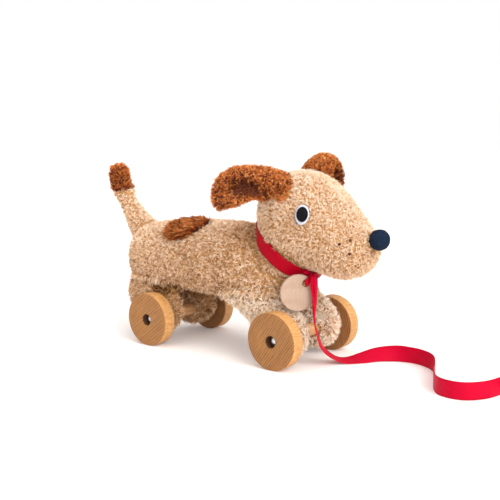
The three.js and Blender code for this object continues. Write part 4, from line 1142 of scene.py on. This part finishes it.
def add_knot():
    """The ribbon's knot: a small ball of tight wraps with creases between them."""
    mesh, points = ball("ribbon_knot_wraps", 5)
    wraps = unit(np.array([[0.55, 0.8, 0.2], [0.1, 0.35, 0.93]]))
    heights = [np.abs(points @ w) for w in wraps]
    bulge = np.maximum(0.98 - 1.1 * heights[0] ** 2, 0.86 - 0.55 * heights[1] ** 2)
    creases = 0.03 * np.sin((points @ wraps[0]) * 17) + 0.02 * np.sin((points @ wraps[1]) * 21 + 1)
    size = KNOT_RADIUS * MM * (0.35 + 0.66 * bulge + creases)
    move_points(mesh, toy(KNOT_AT) + points * size[:, None])
    ribbon_places(mesh, (points @ wraps[0]) * 5 * MM, (points @ wraps[1]) * 0.6)
    dressed(mesh, "dog", RED, replaces=("ribbon_knot",))


def add_hole_knot():
    """Where the narrow ribbon bunches up in front of the tag's hole."""
    mesh, points = ball("tag_loop_bunch", 4)
    out = np.array([math.cos(TAG_TURN), -math.sin(TAG_TURN), 0])
    across = np.array([-out[1], out[0], 0])
    creases = 1 + 0.1 * np.sin(points[:, 0] * 7 + points[:, 2] * 3) + 0.06 * np.sin(points[:, 0] * 15)
    local = points * BUNCH_HALF * MM * creases[:, None]
    move_points(mesh, toy(TAG_HOLE) + out * BUNCH_OUT * MM + local @ np.stack([across, out, [0, 0, 1.0]]))
    ribbon_places(mesh, points[:, 2] * 3 * MM, points[:, 0] * 0.8)
    dressed(mesh, "tag_loop", SHADED_RED_RIBBON)


add_collar()
add_knot()
add_hole_knot()
paint("tag_loop", RED_STRAND)
paint("name_tag", BIRCH)


# Floor, background and light

FLOOR_REACH = 4.0
FLOOR_TINTS = (0.93, 0.88, 0.855, 1), (0.95, 0.90, 0.875, 1)
FLOOR_GLOW = 0.08
WORLD_STRENGTH = 0.7
# Strength, how many degrees wide the light is, and the way it comes from
LAMPS = {"key": (2.4, 46, (0.95, -0.22, 0.55)), "top": (1.35, 80, (0.1, -0.15, 1.0)),
         "fill": (0.75, 50, (0.8, -0.75, 0.1))}


def add_floor():
    floor = bpy.data.meshes.new("floor")
    corners = [(x * FLOOR_REACH, y * FLOOR_REACH, 0) for x, y in ((-1, -1), (1, -1), (1, 1), (-1, 1))]
    floor.from_pydata(corners, [], [(0, 1, 2, 3)])
    piece = new_object("floor", floor)
    f = Finish("floor", 0.9, Specular_IOR_Level=0.1)
    f.colour(f.ramp(f.noise(f.place(), 3.0), zip((0.3, 0.7), FLOOR_TINTS)))
    path = f.node("LightPath").outputs
    seen = f.maths("MAXIMUM", path["Is Glossy Ray"], path["Is Transmission Ray"])
    seen = f.maths("MAXIMUM", path["Is Camera Ray"], seen)
    glow = f.node("Emission", {"Color": (1, 1, 1, 1), "Strength": f.maths("MULTIPLY", seen, FLOOR_GLOW)})
    both = f.node("AddShader", {0: f.shader.outputs[0], 1: glow.outputs[0]})
    f.tree.links.new(both.outputs[0], f.tree.nodes["Material Output"].inputs["Surface"])
    floor.materials.append(f.material)


def add_world():
    """White where the camera sees it, directly or through glass, and less as light on the toy."""
    world = bpy.data.worlds.new("world")
    scene.world = world
    world.use_nodes = True
    tree = world.node_tree
    path = shader_node(tree, "LightPath").outputs
    seen = shader_node(tree, "Math", {0: path["Is Camera Ray"], 1: path["Is Transmission Ray"]},
                       operation="MAXIMUM")
    strength = shader_node(tree, "MapRange", {0: seen.outputs[0], 3: WORLD_STRENGTH, 4: 1.0})
    background = tree.nodes["Background"].inputs
    tree.links.new(strength.outputs[0], background["Strength"])
    background["Color"].default_value = (1, 1, 1, 1)


def add_lamps():
    for name, (strength, angle, way) in LAMPS.items():
        data = bpy.data.lights.new(name, "SUN")
        data.energy = strength
        data.angle = math.radians(angle)
        new_object(name, data).rotation_euler = Vector(way).to_track_quat("Z", "Y").to_euler()


add_floor()
add_world()
add_lamps()
scene.view_settings.view_transform = "Standard"

bpy.context.view_layer.update()
